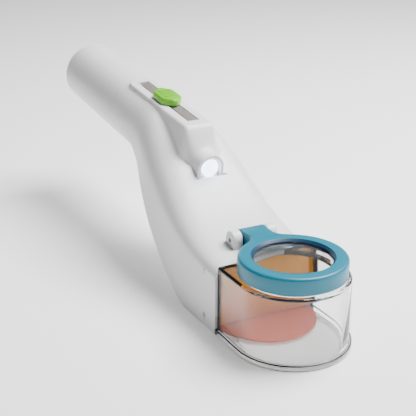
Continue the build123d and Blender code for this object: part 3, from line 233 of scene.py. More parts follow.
def clear(name, base, roughness, index=1.49, ripple=0.004):
    """Clear moulding, such as styrene or acrylic: it bends light, and a slow ripple from the mould's flow
    keeps its reflections from being perfect."""
    material, tree, place = new_material(name)
    slow = add_node(tree, "ShaderNodeTexNoise", {
        "Vector": place, "Scale": 1 / (11 * MILLIMETRE), "Detail": 1.0})
    bump = add_node(tree, "ShaderNodeBump", {
        "Height": slow.outputs["Fac"], "Strength": 0.2, "Distance": ripple * MILLIMETRE})
    tone = add_node(tree, "ShaderNodeMix", {
        "Factor": slow.outputs["Fac"], "A": rgba(base, 0.99), "B": rgba(base, 1.0)}, data_type="RGBA")
    shader = add_node(tree, "ShaderNodeBsdfPrincipled", {
        "Base Color": tone.outputs["Result"], "Roughness": roughness, "IOR": index,
        "Transmission Weight": 1.0, "Normal": bump.outputs["Normal"]})
    shade(tree, shader)
    return material


def metal(name, base, roughness, grain):
    """Bare or plated metal with the fine lines or mottling of how it was made."""
    material, tree, place = new_material(name)
    lines = add_node(tree, "ShaderNodeTexNoise", {
        "Vector": place, "Scale": 1 / (grain * MILLIMETRE), "Detail": 4.0, "Roughness": 0.65})
    gloss = add_node(tree, "ShaderNodeMapRange", {
        "Value": lines.outputs["Fac"], "To Min": roughness * 0.7, "To Max": roughness * 1.35})
    tone = add_node(tree, "ShaderNodeMix", {
        "Factor": lines.outputs["Fac"], "A": rgba(base, 0.9), "B": rgba(base, 1.0)}, data_type="RGBA")
    bump = add_node(tree, "ShaderNodeBump", {
        "Height": lines.outputs["Fac"], "Strength": 0.15, "Distance": 0.01 * MILLIMETRE})
    shader = add_node(tree, "ShaderNodeBsdfPrincipled", {
        "Base Color": tone.outputs["Result"], "Metallic": 1.0, "Roughness": gloss.outputs["Result"],
        "Normal": bump.outputs["Normal"]})
    shade(tree, shader)
    return material


def glowing(name, base, strength):
    """Clear lamp or lens that carries light of its own, slightly uneven as light through a moulding is."""
    material, tree, place = new_material(name)
    slow = add_node(tree, "ShaderNodeTexNoise", {
        "Vector": place, "Scale": 1 / (4 * MILLIMETRE), "Detail": 1.0})
    power = add_node(tree, "ShaderNodeMapRange", {
        "Value": slow.outputs["Fac"], "To Min": strength * 0.9, "To Max": strength * 1.1})
    shader = add_node(tree, "ShaderNodeBsdfPrincipled", {
        "Base Color": rgba(base), "Roughness": 0.12, "IOR": 1.49, "Emission Color": rgba(base),
        "Emission Strength": power.outputs["Result"]})
    shade(tree, shader)
    return material


def lit_table(name, base, strength):
    """Frosted white table lit from below, so that no shadow on it turns dark."""
    material, tree, place = new_material(name)
    slow = add_node(tree, "ShaderNodeTexNoise", {"Vector": place, "Scale": 4.0, "Detail": 2.0})
    power = add_node(tree, "ShaderNodeMapRange", {
        "Value": slow.outputs["Fac"], "To Min": strength * 0.98, "To Max": strength * 1.02})
    shader = add_node(tree, "ShaderNodeBsdfPrincipled", {
        "Base Color": rgba(base), "Roughness": 0.9, "Emission Color": rgba(base),
        "Emission Strength": power.outputs["Result"]})
    shade(tree, shader)
    return material


def tinted(name, base, top):
    """Tinted sheet that lets a little light into and through it; its colour is painted lighter and yellower
    towards the top, for the light that falls on it from above.
    """
    material, tree, place = new_material(name)
    apart = add_node(tree, "ShaderNodeSeparateXYZ", {"Vector": place})
    height = add_node(tree, "ShaderNodeMapRange", {
        "Value": apart.outputs["Z"], "From Min": 0.0, "From Max": 36 * MILLIMETRE})
    slow = add_node(tree, "ShaderNodeTexNoise", {
        "Vector": place, "Scale": 1 / (14 * MILLIMETRE), "Detail": 2.0})
    # painted light: the tint runs from the foot's colour to a lighter, yellower one with height
    tone = add_node(tree, "ShaderNodeMix", {
        "Factor": height.outputs["Result"], "A": rgba(base), "B": rgba(top)}, data_type="RGBA")
    gloss = add_node(tree, "ShaderNodeMapRange", {
        "Value": slow.outputs["Fac"], "To Min": 0.08, "To Max": 0.2})
    shader = add_node(tree, "ShaderNodeBsdfPrincipled", {
        "Base Color": tone.outputs["Result"], "Roughness": gloss.outputs["Result"], "IOR": 1.52,
        "Transmission Weight": 0.05, "Subsurface Weight": 0.3, "Subsurface Radius": (1.0, 0.6, 0.3),
        "Subsurface Scale": 2 * MILLIMETRE})
    shade(tree, shader)
    return material


# What each of the record's material slots really is: how it is shaded, its real name, its colours (names of
# CatcherColours or sRGB hex) and the rest of its look
MATERIALS = {
    "white_shell": (moulded, "satin_white_abs", ["shell"], {"roughness": 0.34, "soft": 0.06}),
    "clear_chamber": (clear, "clear_styrene", ["FBFDFD"], {"roughness": 0.015}),
    "screw_steel": (metal, "zinc_plated_steel", ["B9BCC0"], {"roughness": 0.28, "grain": 0.5}),
    "peach_panel": (tinted, "amber_tinted_styrene", ["panel", "panel_top"], {}),
    "blue_lid": (moulded, "blue_abs", ["lid"], {"roughness": 0.38}),
    "pin_steel": (metal, "bright_steel_pin", ["C9CBCE"], {"roughness": 0.22, "grain": 0.4}),
    "clear_lens": (clear, "clear_acrylic_lens", ["FFFFFF"], {"roughness": 0.005}),
    "navy_retainer": (moulded, "navy_abs", ["123A57"], {"roughness": 0.4}),
    "orange_door": (moulded, "orange_styrene", ["door"], {"roughness": 0.35}),
    "grey_strip": (moulded, "warm_grey_abs", ["strip"], {"roughness": 0.42}),
    "green_button": (moulded, "green_abs", ["button"], {"roughness": 0.36, "coat": 0.05}),
    "pale_acetal": (moulded, "natural_acetal", ["E4E2DA"], {"roughness": 0.35, "soft": 0.1}),
    "torch_clear": (glowing, "lit_clear_lens", ["DCE9FF"], {"strength": 6.0}),
    "bright_reflector": (metal, "vacuum_metallised_reflector", ["E6E7E8"], {"roughness": 0.08, "grain": 0.8}),
    "lamp_clear": (glowing, "lit_epoxy_lamp", ["EEF4FF"], {"strength": 3.0}),
    "board_green": (moulded, "solder_mask_board", ["board"], {"roughness": 0.4}),
    "seal_rubber": (moulded, "nitrile_rubber", ["rubber"], {"roughness": 0.6}),
    "black_holder": (moulded, "black_polypropylene", ["202022"], {"roughness": 0.45}),
    "cell_jacket": (moulded, "shrink_sleeve_pvc", ["jacket"], {"roughness": 0.25}),
    "contact_metal": (metal, "nickel_plated_spring_steel", ["CFCBC2"], {"roughness": 0.25, "grain": 0.3}),
    "wire_jacket": (moulded, "pvc_wire_jacket", ["wire"], {"roughness": 0.4}),
    # painted shade: an opaque dark brown on the chamber's edge faces stands in for the darkness that clear
    # styrene shows where it is seen edge on
    "clear_edge": (moulded, "clear_styrene_seen_edge_on", ["15110D"], {"roughness": 0.12}),
}


def colour_of(colours, code):
    """A colour by the name of its property, or by its sRGB hex code."""
    return getattr(colours, code) if code in CatcherColours.__annotations__ else linear(code)


def finish(slot):
    """The material of one of the record's slots."""
    return bpy.data.materials[MATERIALS[slot][1]]


# --- shapes ----------------------------------------------------------------------------------

def chain(bm, points):
    """Vertices and edges of a line through the points, each vertex extruded from the last."""
    verts = [bmesh.ops.create_vert(bm, co=points[0])["vert"][0]]
    for point in points[1:]:
        verts.append(bmesh.ops.extrude_vert_indiv(bm, verts=[verts[-1]])["verts"][0])
        verts[-1].co = point
    return verts


def edges_of(verts):
    """The edges at the given vertices, each once and in the same order at every run."""
    return list(dict.fromkeys(edge for vert in verts for edge in vert.link_edges))


def closed(bm, points):
    """The edges of a closed outline through the points."""
    verts = chain(bm, points)
    bmesh.ops.contextual_create(bm, geom=[verts[-1], verts[0]])
    return edges_of(verts)


def verts_of(made):
    """The vertices among what an operator made."""
    return [item for item in made if isinstance(item, bmesh.types.BMVert)]


def arc(radius, start, sweep, steps, across=0, along=0):
    """Points on a circle round the point (across, along), from a start angle through a sweep."""
    turns = [start + sweep * step / steps for step in range(steps + 1)]
    return [Vector((across + radius * cos(turn), along + radius * sin(turn))) for turn in turns]


def rounded(corners, steps=5):
    """Closed outline through corners given as (across, along, radius), each turned by its own arc."""
    points = []
    for place, corner in enumerate(corners):
        here = Vector(corner[:2])
        if not corner[2]:
            points.append(here)
            continue
        back = (Vector(corners[place - 1][:2]) - here).normalized()
        ahead = (Vector(corners[(place + 1) % len(corners)][:2]) - here).normalized()
        half = back.angle(ahead) / 2
        middle = here + (back + ahead).normalized() * (corner[2] / sin(half))
        first = (here + back * (corner[2] / tan(half)) - middle).normalized()
        last = (here + ahead * (corner[2] / tan(half)) - middle).normalized()
        points += [middle + first.slerp(last, step / steps) * corner[2] for step in range(steps + 1)]
    return points


def stadium(rear, front, right, left, corner, steps):
    """Outline of a rectangle with rounded corners."""
    return rounded(((rear, right, corner), (front, right, corner), (front, left, corner),
                    (rear, left, corner)), steps)


def turned(bm, outline, origin, axis, steps=96, on_axis=False):
    """Solid turned about an axis from an outline of (radius, height) points, which may end on the axis."""
    side = axis.orthogonal().normalized()
    points = [origin + side * point[0] + axis * point[1] for point in outline]
    if on_axis:
        verts = chain(bm, points)
        edges = edges_of(verts)
    else:
        edges = closed(bm, points)
        verts = list(dict.fromkeys(vert for edge in edges for vert in edge.verts))
    bmesh.ops.spin(bm, geom=verts + edges, cent=origin, axis=axis, angle=2 * pi, steps=steps, use_merge=True)
    bmesh.ops.remove_doubles(bm, verts=bm.verts, dist=MERGE)


def slab(bm, outline, thickness, place):
    """Flat plate: a closed outline of (x, y) points, thickened along z and put in place by a matrix."""
    edges = closed(bm, [Vector((point[0], point[1], 0)) for point in outline])
    face = bmesh.ops.contextual_create(bm, geom=edges)["faces"][0]
    low = list(face.verts)
    made = bmesh.ops.extrude_face_region(bm, geom=[face], use_keep_orig=True)["geom"]
    high = verts_of(made)
    bmesh.ops.translate(bm, verts=high, vec=(0, 0, thickness))
    bmesh.ops.transform(bm, matrix=place, verts=low + high)
    return low, high


def soften(bm, verts, width, segments=3):
    """Rounds the edges that join the given vertices."""
    chosen = set(verts)
    edges = [edge for edge in bm.edges if set(edge.verts) <= chosen]
    bmesh.ops.bevel(bm, geom=edges, offset=width, segments=segments, profile=0.5, affect="EDGES", material=-1)


def laid(bm, loops, capped=False):
    """Skin over closed loops of points, each loop extruded from the one before it."""
    ring = bmesh.ops.create_circle(bm, segments=len(loops[0]), radius=1)["verts"]
    for vert, point in zip(ring, loops[0]):
        vert.co = point
    edges = edges_of(ring)
    if capped:
        bmesh.ops.contextual_create(bm, geom=edges)
    for loop in loops[1:]:
        made = bmesh.ops.extrude_edge_only(bm, edges=edges)["geom"]
        fresh = set(verts_of(made))
        edges = [item for item in made if isinstance(item, bmesh.types.BMEdge) and set(item.verts) <= fresh]
        ring = [next(edge.other_vert(vert) for edge in vert.link_edges if edge.other_vert(vert) in fresh)
                for vert in ring]
        for vert, point in zip(ring, loop):
            vert.co = point
    if capped:
        bmesh.ops.contextual_create(bm, geom=edges)


def new_piece(name, bm, slots, body, nodes=(), sharp=35):
    """Puts a shape in the scene as a piece that rides on a body and stands for CAD nodes."""
    bmesh.ops.recalc_face_normals(bm, faces=bm.faces)
    mesh = bpy.data.meshes.new(name)
    bm.to_mesh(mesh)
    bm.free()
    for slot in slots:
        mesh.materials.append(finish(slot))
    mesh.shade_smooth()
    mesh.set_sharp_from_angle(angle=radians(sharp))
    piece = bpy.data.objects.new(name, mesh)
    bpy.context.scene.collection.objects.link(piece)
    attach(piece, body)
    if nodes:
        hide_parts(*nodes)
    return piece


def merged_copy(node, body):
    """A CAD node's own shape with its loose triangles joined, so that round faces shade smoothly."""
    bm = bmesh.new()
    bm.from_mesh(frame["nodes"][node].data)
    bmesh.ops.remove_doubles(bm, verts=bm.verts, dist=MERGE)
    slot = next(row["material_slot"] for row in frame["record"]["subparts"] if row["node"] == node)
    new_piece(node + "_smooth", bm, [slot], body, [node])


# --- pieces ----------------------------------------------------------------------------------

class CATCHER_OT_finishes(bpy.types.Operator):
    """Give every CAD solid that stays the finish of its real material"""

    bl_idname = "catcher.finishes"
    bl_label = "Finish CAD solids"

    def execute(self, context):
        colours = context.scene.catcher_colours
        made = {slot: shaded(name, *(colour_of(colours, code) for code in codes), **look)
                for slot, (shaded, name, codes, look) in MATERIALS.items()}
        for row in frame["record"]["subparts"]:
            for holder in frame["nodes"][row["node"]].material_slots:
                holder.material = made[row["material_slot"]]
        return {"FINISHED"}


class CatcherBody(bpy.types.PropertyGroup):
    """Sizes of the white body and grip."""

    grip_radius: length("Grip", "Radius of the grip", 0.020)
    grip_flare: length("Flare", "Extra radius at the grip's root", 0.00009)
    grip_flare_length: length("Flare length", "Length over which the grip narrows", 0.026)
    grip_length: length("Grip length", "From the root to the cap's seam", 0.1006)
    grip_tilt: angle("Tilt", "Rise of the grip rearward", 5.5)
    root_back: length("Root", "Distance of the grip's root behind the ring's axis", 0.162)
    root_height: length("Root height", "Height of the grip's axis at its root", 0.0742)
    half_width: length("Half width", "Half width of the body's front", 0.0314)
    front_back: length("Front", "Distance of the body's front behind the ring's axis", 0.0238)
    front_height: length("Front height", "Height of the body's front", 0.0384)
    wall: length("Wall", "Thickness of the moulding", 0.002)
    seam: length("Seam", "Height of the seam above the floor", 0.010)
    seam_rear: length("Seam at the rear", "The same at the cover's rear end", 0.0035)
    cover_end: length("Cover end", "Rear end of the bottom cover behind the ring's axis", 0.14597)
    pad_height: length("Pad", "Height of the pad above the grip's axis", 0.0203)
    pad_half: length("Pad half width", "Half width of the pad", 0.0088)
    pad_flare: FloatProperty(name="Pad flare", description="How far its sides lean out", default=0.27)
    pad_back: length("Pad place", "Distance of the slot's middle behind the ring's axis", 0.1456)
    pad_rear: length("Pad rear", "Rear end of the pad from the slot's middle", 0.041)
    pad_corner: length("Pad corner", "Radius of the pad's rear corners", 0.0075)
    pad_edge: length("Pad edge", "Radius of the pad's edge", 0.0022)
    pad_foot: length("Pad foot", "Radius where the pad's sides run into the body", 0.0045)
    ridge_end: length("Ridge end", "Where the ridge starts to fall, from the slot's middle", 0.0432)
    ridge_foot: length("Ridge foot", "Where the ridge meets the hood, from the slot's middle", 0.0535)
    ridge_drop: length("Ridge drop", "Fall of the ridge to the hood", 0.0124)
    slot_half: length("Slot", "Half width of the slot", 0.0038)
    slot_long: length("Slot length", "Half length of the slot", 0.035)
    slot_deep: length("Slot depth", "Depth of the slot", 0.0016)
    stem_in: length("Stem slot", "Inner edge of the narrow slot", 0.0019)
    stem_long: length("Stem slot length", "Half length of the narrow slot", 0.0315)
    stem_deep: length("Stem slot depth", "Depth of the narrow slot", 0.003)
    torch_back: length("Torch", "Distance of the torch behind the ring's axis", 0.0875)
    torch_height: length("Torch height", "Height of the torch", 0.0664)
    torch_dip: angle("Torch dip", "How far the torch looks down", 10)
    hood: length("Hood", "Radius of the hood", 0.0082)
    hood_foot: length("Hood foot", "Depth of the hood's foot under the torch's axis", 0.0070)
    hood_rear: length("Hood rear", "Where the ridge starts to turn, behind the ring's axis", 0.103)
    hood_blend: length("Hood blend", "Length over which the ridge turns into the hood", 0.0105)
    niche_rim: length("Hood rim", "Width of the rim round the niche", 0.0017)
    niche_deep: length("Niche", "Depth of the niche", 0.0018)
    niche_hole: length("Lens hole", "Radius of the hole for the torch's lens", 0.0052)
    lug: length("Lug", "Radius of the hinge lugs", 0.0048)
    lug_width: length("Lug width", "Width of one hinge lug", 0.0058)
    lug_inner: length("Lug place", "Inner face of a lug from the middle", 0.00775)
    lug_edge: length("Lug edge", "Radius of the lugs' edges", 0.0009)
    screw_back: length("Screws", "Distance of the side screws behind the ring's axis", 0.0358)
    screw_low: length("Lower screw", "Height of the lower side screw", 0.0060)
    screw_high: length("Upper screw", "Height of the upper side screw", 0.0314)
    screw: length("Screw head", "Radius of a side screw's head", 0.0016)
    screw_face: length("Screw face", "Outer face of a side screw's head from the middle", 0.03143)
    screw_deep: length("Screw depth", "Depth of a side screw's head", 0.0012)
    socket: length("Socket", "Radius of the socket in a screw's head", 0.0006)


def spaced(points, count):
    """Points along a line, closer together where it turns."""
    points = [points[0]] + [point for last, point in zip(points, points[1:])
                            if (point - last).length > TINY / 10]
    places = [0.0]
    for place in range(1, len(points)):
        step = points[place] - points[place - 1]
        turn = 0.0
        if place > 1:
            last = points[place - 1] - points[place - 2]
            turn = step.angle(last, 0.0)
        places.append(places[-1] + step.length + turn * TURN_WEIGHT)
    chosen = []
    here = 0
    for step in range(count):
        target = places[-1] * step / (count - 1)
        while here < len(places) - 2 and places[here + 1] < target:
            here += 1
        way = (target - places[here]) / (places[here + 1] - places[here])
        chosen.append(points[here].lerp(points[here + 1], min(way, 1)))
    return chosen


def slope(a, b, c, column):
    """Slope of a column of the body's sections at the middle one of three rows."""
    first = (b[column] - a[column]) / (b[0] - a[0])
    second = (c[column] - b[column]) / (c[0] - b[0])
    return (first * (c[0] - b[0]) + second * (b[0] - a[0])) / (c[0] - a[0])


def between_sections(share):
    """Values of a body section at a share of the way back, on smooth curves through the known sections."""
    rows = [(BODY_SECTIONS[0][0] - FRONT_LEAD, *BODY_SECTIONS[0][1:]), *BODY_SECTIONS, GRIP_SECTION]
    place = max(index for index in range(1, len(rows) - 2) if rows[index][0] <= share + TINY)
    before, start, end, after = rows[place - 1:place + 3]
    span = end[0] - start[0]
    way = (share - start[0]) / span
    values = []
    for column in range(1, len(GRIP_SECTION)):
        leave = slope(before, start, end, column) * span
        arrive = slope(start, end, after, column) * span
        values.append(start[column] * (2 * way ** 3 - 3 * way ** 2 + 1)
                      + leave * (way ** 3 - 2 * way ** 2 + way)
                      + end[column] * (3 * way ** 2 - 2 * way ** 3) + arrive * (way ** 3 - way ** 2))
    return values


def section(body, x):
    """Section of the body at x behind the ring's axis."""
    lean = cos(body.grip_tilt)
    axis = body.root_height + (x - body.root_back) * tan(body.grip_tilt)
    if x > body.root_back:
        rise = max(1 - (x - body.root_back) / body.grip_flare_length, 0)
        radius = body.grip_radius + body.grip_flare * rise
        return Section(radius, axis + radius / lean, axis, radius, axis - radius / lean, 2.0)
    extra, rise, side, corner, floor, bend = between_sections(
        (x - body.front_back) / (body.root_back - body.front_back))
    half = body.grip_radius + (body.half_width - body.grip_radius) * extra
    top = body.front_height + (body.root_height + body.grip_radius / lean - body.front_height) * rise
    low = (body.root_height - body.grip_radius / lean) * floor
    return Section(half, top, low + (top - low) * side, max(half * corner, LEAST_CORNER), low, bend)


def roof(sizes, across):
    """Height of a section's top at a distance from the middle."""
    bow = sqrt(max(1 - (abs(across) / sizes.half) ** sizes.bend, 0))
    return sizes.side_top + (sizes.top - sizes.side_top) * bow


def seam_height(body, x):
    """Height of the seam at x behind the ring's axis."""
    share = (x - body.front_back) / (body.root_back - body.front_back)
    low = body.root_height - body.grip_radius / cos(body.grip_tilt)
    last = len(SEAM_SHARES) - 2
    for place in range(last + 1):
        near, far = BODY_SECTIONS[place], BODY_SECTIONS[place + 1]
        if share <= far[0] or place == last:
            way = (share - near[0]) / (far[0] - near[0])
            return (low * (max(near[5], 0) * (1 - way) + max(far[5], 0) * way)
                    + body.seam * (SEAM_SHARES[place] * (1 - way) + SEAM_SHARES[place + 1] * way))


def under_half(body, x, sizes):
    """Half of a section from the middle of the floor up to the seam."""
    half, corner, low = sizes.half, sizes.corner, sizes.low
    seam = seam_height(body, x) if x < body.cover_end else low + body.seam_rear
    fine = [Vector((0, max(low, 0)))]
    fine += arc(corner, -pi / 2, pi / 2, 24, half - corner, low + corner)
    fine += [Vector((half, low + corner + (seam - low - corner) * step / 4)) for step in range(1, 5)]
    kept = [Vector((point.x, max(point.y, 0))) for point in fine if point.y < seam - MERGE / 10]
    drop = low + corner - seam
    across = half if drop < 0 else half - corner + sqrt(max(corner ** 2 - drop ** 2, 0))
    return kept + [Vector((across, seam))]


def crest_half(body, x, sizes):
    """Half of the pad or ridge at x, from its foot on the roof up to the middle of its top."""
    lean, fall = cos(body.grip_tilt), sin(body.grip_tilt)
    slide_z = body.root_height - (body.root_back - body.pad_back) * tan(body.grip_tilt)
    plain = [Vector((across, roof(sizes, across))) for across in CREST_REST]
    along = (body.pad_back - x - body.pad_height * fall) / lean
    height = body.pad_height
    if along > body.ridge_end:
        way = (along - body.ridge_end) / (body.ridge_foot - body.ridge_end)
        height -= body.ridge_drop * min(way, 1) * smooth(min(way * RIDGE_HASTE, 1))
    top = slide_z - along * fall + height * lean
    half = body.pad_half
    ahead = along + body.pad_rear
    if ahead < -TINY or x < body.torch_back + body.hood_foot * tan(body.torch_dip) - MERGE:
        return plain
    if ahead < body.pad_corner:
        half += sqrt(max(body.pad_corner ** 2 - (body.pad_corner - ahead) ** 2, 0)) - body.pad_corner
    # the pad's side leans out down to the roof, whose height there is found in a few rounds
    foot = half
    for _ in range(6):
        foot = half + body.pad_flare * max(top - roof(sizes, foot), 0)
    rise = max(top - roof(sizes, half), 0)
    edge = max(min(body.pad_edge, rise * EDGE_SHARE), TINY)
    blend = smooth(min(max((body.hood_rear - x) / body.hood_blend, 0), 1))
    turn = max(min(body.pad_foot, rise * FOOT_SHARE) * (1 - HOOD_SHARE * blend), TINY)
    out = foot + turn
    line = rounded(((out, roof(sizes, out), 0), (foot, roof(sizes, foot), turn * 0.6), (half, top, edge),
                    (0, top, 0)))
    inward = (body.slot_half, body.stem_in, 0)
    if half < body.slot_half * NARROW:
        inward = (half * 0.4, half * 0.2, 0)
    pad = line[:EDGE_POINTS] + [Vector((across, top)) for across in inward]
    if not blend:
        return pad
    axis = body.torch_height + (body.torch_back - x) * -tan(body.torch_dip)
    arch_foot = body.hood + turn
    arch = [Vector((arch_foot, roof(sizes, arch_foot)))]
    arch += rounded(((arch_foot, roof(sizes, arch_foot), 0), (body.hood, roof(sizes, body.hood), turn * 0.6),
                     (body.hood, axis, 0)))[1:FOOT_POINTS]
    arch += arc(body.hood, 0, pi / 2, 8, 0, axis)
    return [a.lerp(b, blend) for a, b in zip(pad, arch)]


def skin_loop(body, x, middle, crest=None, crest_x=None):
    """Closed loop round the body at x behind the ring's axis, up the left side and down the right."""
    sizes = section(body, x)
    crest = crest or crest_half(body, x, sizes)
    under = spaced(under_half(body, x, sizes), UNDER_POINTS)
    half, side_top = sizes.half, sizes.side_top
    start = under[-1]
    side = [Vector((half, start.y + (side_top - start.y) * step / 6)) for step in range(7)]
    if start.x < half - TINY:
        turns = arc(sizes.corner, -pi / 2, pi / 2, 12, half - sizes.corner, sizes.low + sizes.corner)
        side = [start] + [point for point in turns if point.y > start.y] + [Vector((half, side_top))]
    reaches = [half * cos(pi / 2 * step / ROOF_SAMPLES) ** (2 / sizes.bend)
               for step in range(1, ROOF_SAMPLES)]
    bow = [Vector((reach, roof(sizes, reach))) for reach in reaches if reach > crest[0].x + 2 * MERGE]
    upper = spaced(side + bow + [crest[0]], UPPER_POINTS)
    left = under + upper[1:-1] + crest
    count = len(left) - len(crest)
    loop = []
    for place, point in enumerate(left):
        back = x if crest_x is None or place < count + FOOT_POINTS else crest_x(point.y)
        loop.append(Vector((middle - back, point.x, point.y)))
    return loop + [Vector((point.x, -point.y, point.z)) for point in reversed(loop[1:-1])]


class CATCHER_OT_body(bpy.types.Operator):
    """Make the upper moulding: body, grip, pad with its slot, torch hood and hinge lugs"""

    bl_idname = "catcher.body"
    bl_label = "Body"

    def execute(self, context):
        body = context.scene.catcher_body
        middle = context.scene.catcher_lid.middle
        lean, fall = cos(body.grip_tilt), sin(body.grip_tilt)
        upward = Vector((fall, 0, lean))

        def on_pad(along):
            return body.pad_back - along * lean - body.pad_height * fall

        def hood_face(z):
            return body.torch_back - (z - body.torch_height) * tan(body.torch_dip)

        foot_z = body.torch_height - body.hood_foot
        hood_back = hood_face(foot_z)
        marks = [body.front_back, hood_back - HOOD_STEP, hood_back + LIP_STEP, body.cover_end,
                 on_pad(body.ridge_foot), on_pad(body.ridge_end), on_pad(body.slot_long),
                 on_pad(body.slot_long - body.slot_deep), on_pad(body.stem_long), on_pad(-body.stem_long),
                 on_pad(body.slot_deep - body.slot_long), on_pad(-body.slot_long),
                 on_pad(-body.pad_rear) - TINY, on_pad(-body.pad_rear) + 0.3 * MILLIMETRE]
        marks += [on_pad(-body.pad_rear + body.pad_corner * (1 - cos(pi / 2 * step / 6)))
                  for step in range(1, 7)]
        marks += [hood_back + HOOD_STEP * step for step in range(1, 10)]
        ridge_run = body.ridge_foot - body.ridge_end
        marks += [on_pad(body.ridge_end + ridge_run * step / 10) for step in range(-2, 10)]
        stations = sorted(set(marks))
        for near, far in list(zip(stations, stations[1:])):
            count = int((far - near) / BODY_STEP)
            stations += [near + (far - near) * step / (count + 1) for step in range(1, count + 1)]
        stations.sort()
        last = body.root_back + (body.grip_length - 3 * GRIP_STEP) * lean
        tail = stations[-1]
        count = int((last - tail) / GRIP_STEP)
        stations += [tail + (last - tail) * step / count for step in range(1, count + 1)]

        loops = []
        for x in stations:
            if hood_back < x < hood_back + 2 * LIP_STEP:
                arch = crest_half(body, hood_back, section(body, hood_back))
                sunk = arch[:FOOT_POINTS] + [Vector((point.x, foot_z)) for point in arch[FOOT_POINTS:]]
                loops.append(skin_loop(body, hood_back, middle, sunk))
                loops.append(skin_loop(body, hood_back, middle, arch, hood_face))
            loops.append(skin_loop(body, x, middle))
        root = Vector((middle - body.root_back, 0, body.root_height))
        rearward = Vector((-lean, 0, fall))
        # the last loops turn from upright to square across the grip, where the cap meets it
        upright_loop = loops[-1]
        for share, steps in ((0.6, 2), (0.25, 1), (0, 0)):
            axis = root + rearward * (body.grip_length - steps * GRIP_STEP)
            loop = []
            for point in upright_loop:
                up = (point - root - rearward * (point - root).dot(rearward)).dot(upward)
                lag = -up * share * tan(body.grip_tilt)
                loop.append(axis + LEFT * point.y + upward * up + rearward * lag)
            loops.append(loop)

        bm = bmesh.new()
        laid(bm, loops)
        bmesh.ops.remove_doubles(bm, verts=bm.verts, dist=MERGE)
        # the bottom cover closes what lies below the seam
        below = [face for face in bm.faces
                 if all(middle - vert.co.x < body.cover_end + MERGE
                        and vert.co.z < seam_height(body, middle - vert.co.x) + MERGE for vert in face.verts)]
        bmesh.ops.delete(bm, geom=below, context="FACES")

        # the slot that the button slides in, and the narrow one beside the strip, open to the inside
        slot_middle = Vector((middle - body.pad_back, 0,
                              body.root_height - (body.root_back - body.pad_back) * tan(body.grip_tilt)))
        for left, right, long, floor, deep in (
                (-body.slot_half, body.slot_half, body.slot_long, body.pad_height, body.slot_deep),
                (-body.slot_half, -body.stem_in, body.stem_long, body.pad_height - body.slot_deep,
                 body.stem_deep)):
            chosen = []
            for face in bm.faces:
                spot = face.calc_center_median() - slot_middle
                if (left < spot.y < right and abs(spot.dot(-rearward)) < long
                        and abs(spot.dot(upward) - floor) < 10 * MERGE):
                    chosen.append(face)
            made = bmesh.ops.extrude_face_region(bm, geom=chosen)["geom"]
            bmesh.ops.translate(bm, vec=-upward * deep, verts=verts_of(made))
            bmesh.ops.delete(bm, geom=chosen, context="FACES")
        below = [item for item in made if isinstance(item, bmesh.types.BMFace)]
        bmesh.ops.delete(bm, geom=below, context="FACES")

        # the torch's niche in the hood's face, with the hole for its lens
        out = Vector((cos(body.torch_dip), 0, -sin(body.torch_dip)))
        torch = Vector((middle - body.torch_back, 0, body.torch_height))

        def flat(item, deep):
            return all(abs((vert.co - torch).dot(out) + deep) < MERGE for vert in item.verts)

        chosen = [face for face in bm.faces if flat(face, 0)]
        bmesh.ops.inset_region(bm, faces=chosen, thickness=body.niche_rim, use_even_offset=True)
        made = bmesh.ops.extrude_face_region(bm, geom=chosen)["geom"]
        bmesh.ops.translate(bm, vec=-out * body.niche_deep, verts=verts_of(made))
        floor = chosen + [face for face in bm.faces if flat(face, body.niche_deep)]
        bmesh.ops.delete(bm, geom=floor, context="FACES")
        rim = [edge for edge in bm.edges if len(edge.link_faces) == 1 and flat(edge, body.niche_deep)]
        made = bmesh.ops.extrude_edge_only(bm, edges=rim)["geom"]
        seat = torch - out * body.niche_deep
        for vert in verts_of(made):
            vert.co = seat + (vert.co - seat).normalized() * body.niche_hole
        shell = new_piece("body", bm, ["white_shell"], "housing", ["main_housing"], sharp=42)
        wall = shell.modifiers.new("wall", "SOLIDIFY")
        wall.thickness = body.wall
        wall.offset = -1
        edges = shell.modifiers.new("edges", "BEVEL")
        edges.width = 0.3 * MILLIMETRE
        edges.segments = 2
        edges.limit_method = "ANGLE"
        edges.angle_limit = radians(50)

        lug_foot = -body.lug - body.wall / 2
        outline = arc(body.lug, 0, pi, 24) + [(-body.lug, lug_foot), (body.lug, lug_foot)]
        bm = bmesh.new()
        hinge = context.scene.catcher_lid
        for outer in (body.lug_inner + body.lug_width, -body.lug_inner):
            spot = Matrix.Translation((middle - hinge.hinge_back, outer, hinge.hinge_high))
            low, high = slab(bm, outline, body.lug_width, spot @ ON_EDGE)
            for side in (low, high):
                soften(bm, side, body.lug_edge, 4)
        new_piece("lugs", bm, ["white_shell"], "housing", sharp=40)

        bm = bmesh.new()
        face, sunk = body.screw_face, body.screw_face - body.screw_deep / 2
        back = body.screw_face - body.screw_deep
        outline = rounded(((0, sunk, 0), (body.socket, sunk, 0), (body.socket, face, body.socket / 4),
                           (body.screw, face, body.socket / 2), (body.screw, back, 0), (0, back, 0)), 3)
        for side in (LEFT, -LEFT):
            for height in (body.screw_low, body.screw_high):
                turned(bm, outline, Vector((middle - body.screw_back, 0, height)), side, 32, on_axis=True)
        new_piece("side_screw_heads", bm, ["screw_steel"], "housing", ["side_screws"])
        return {"FINISHED"}


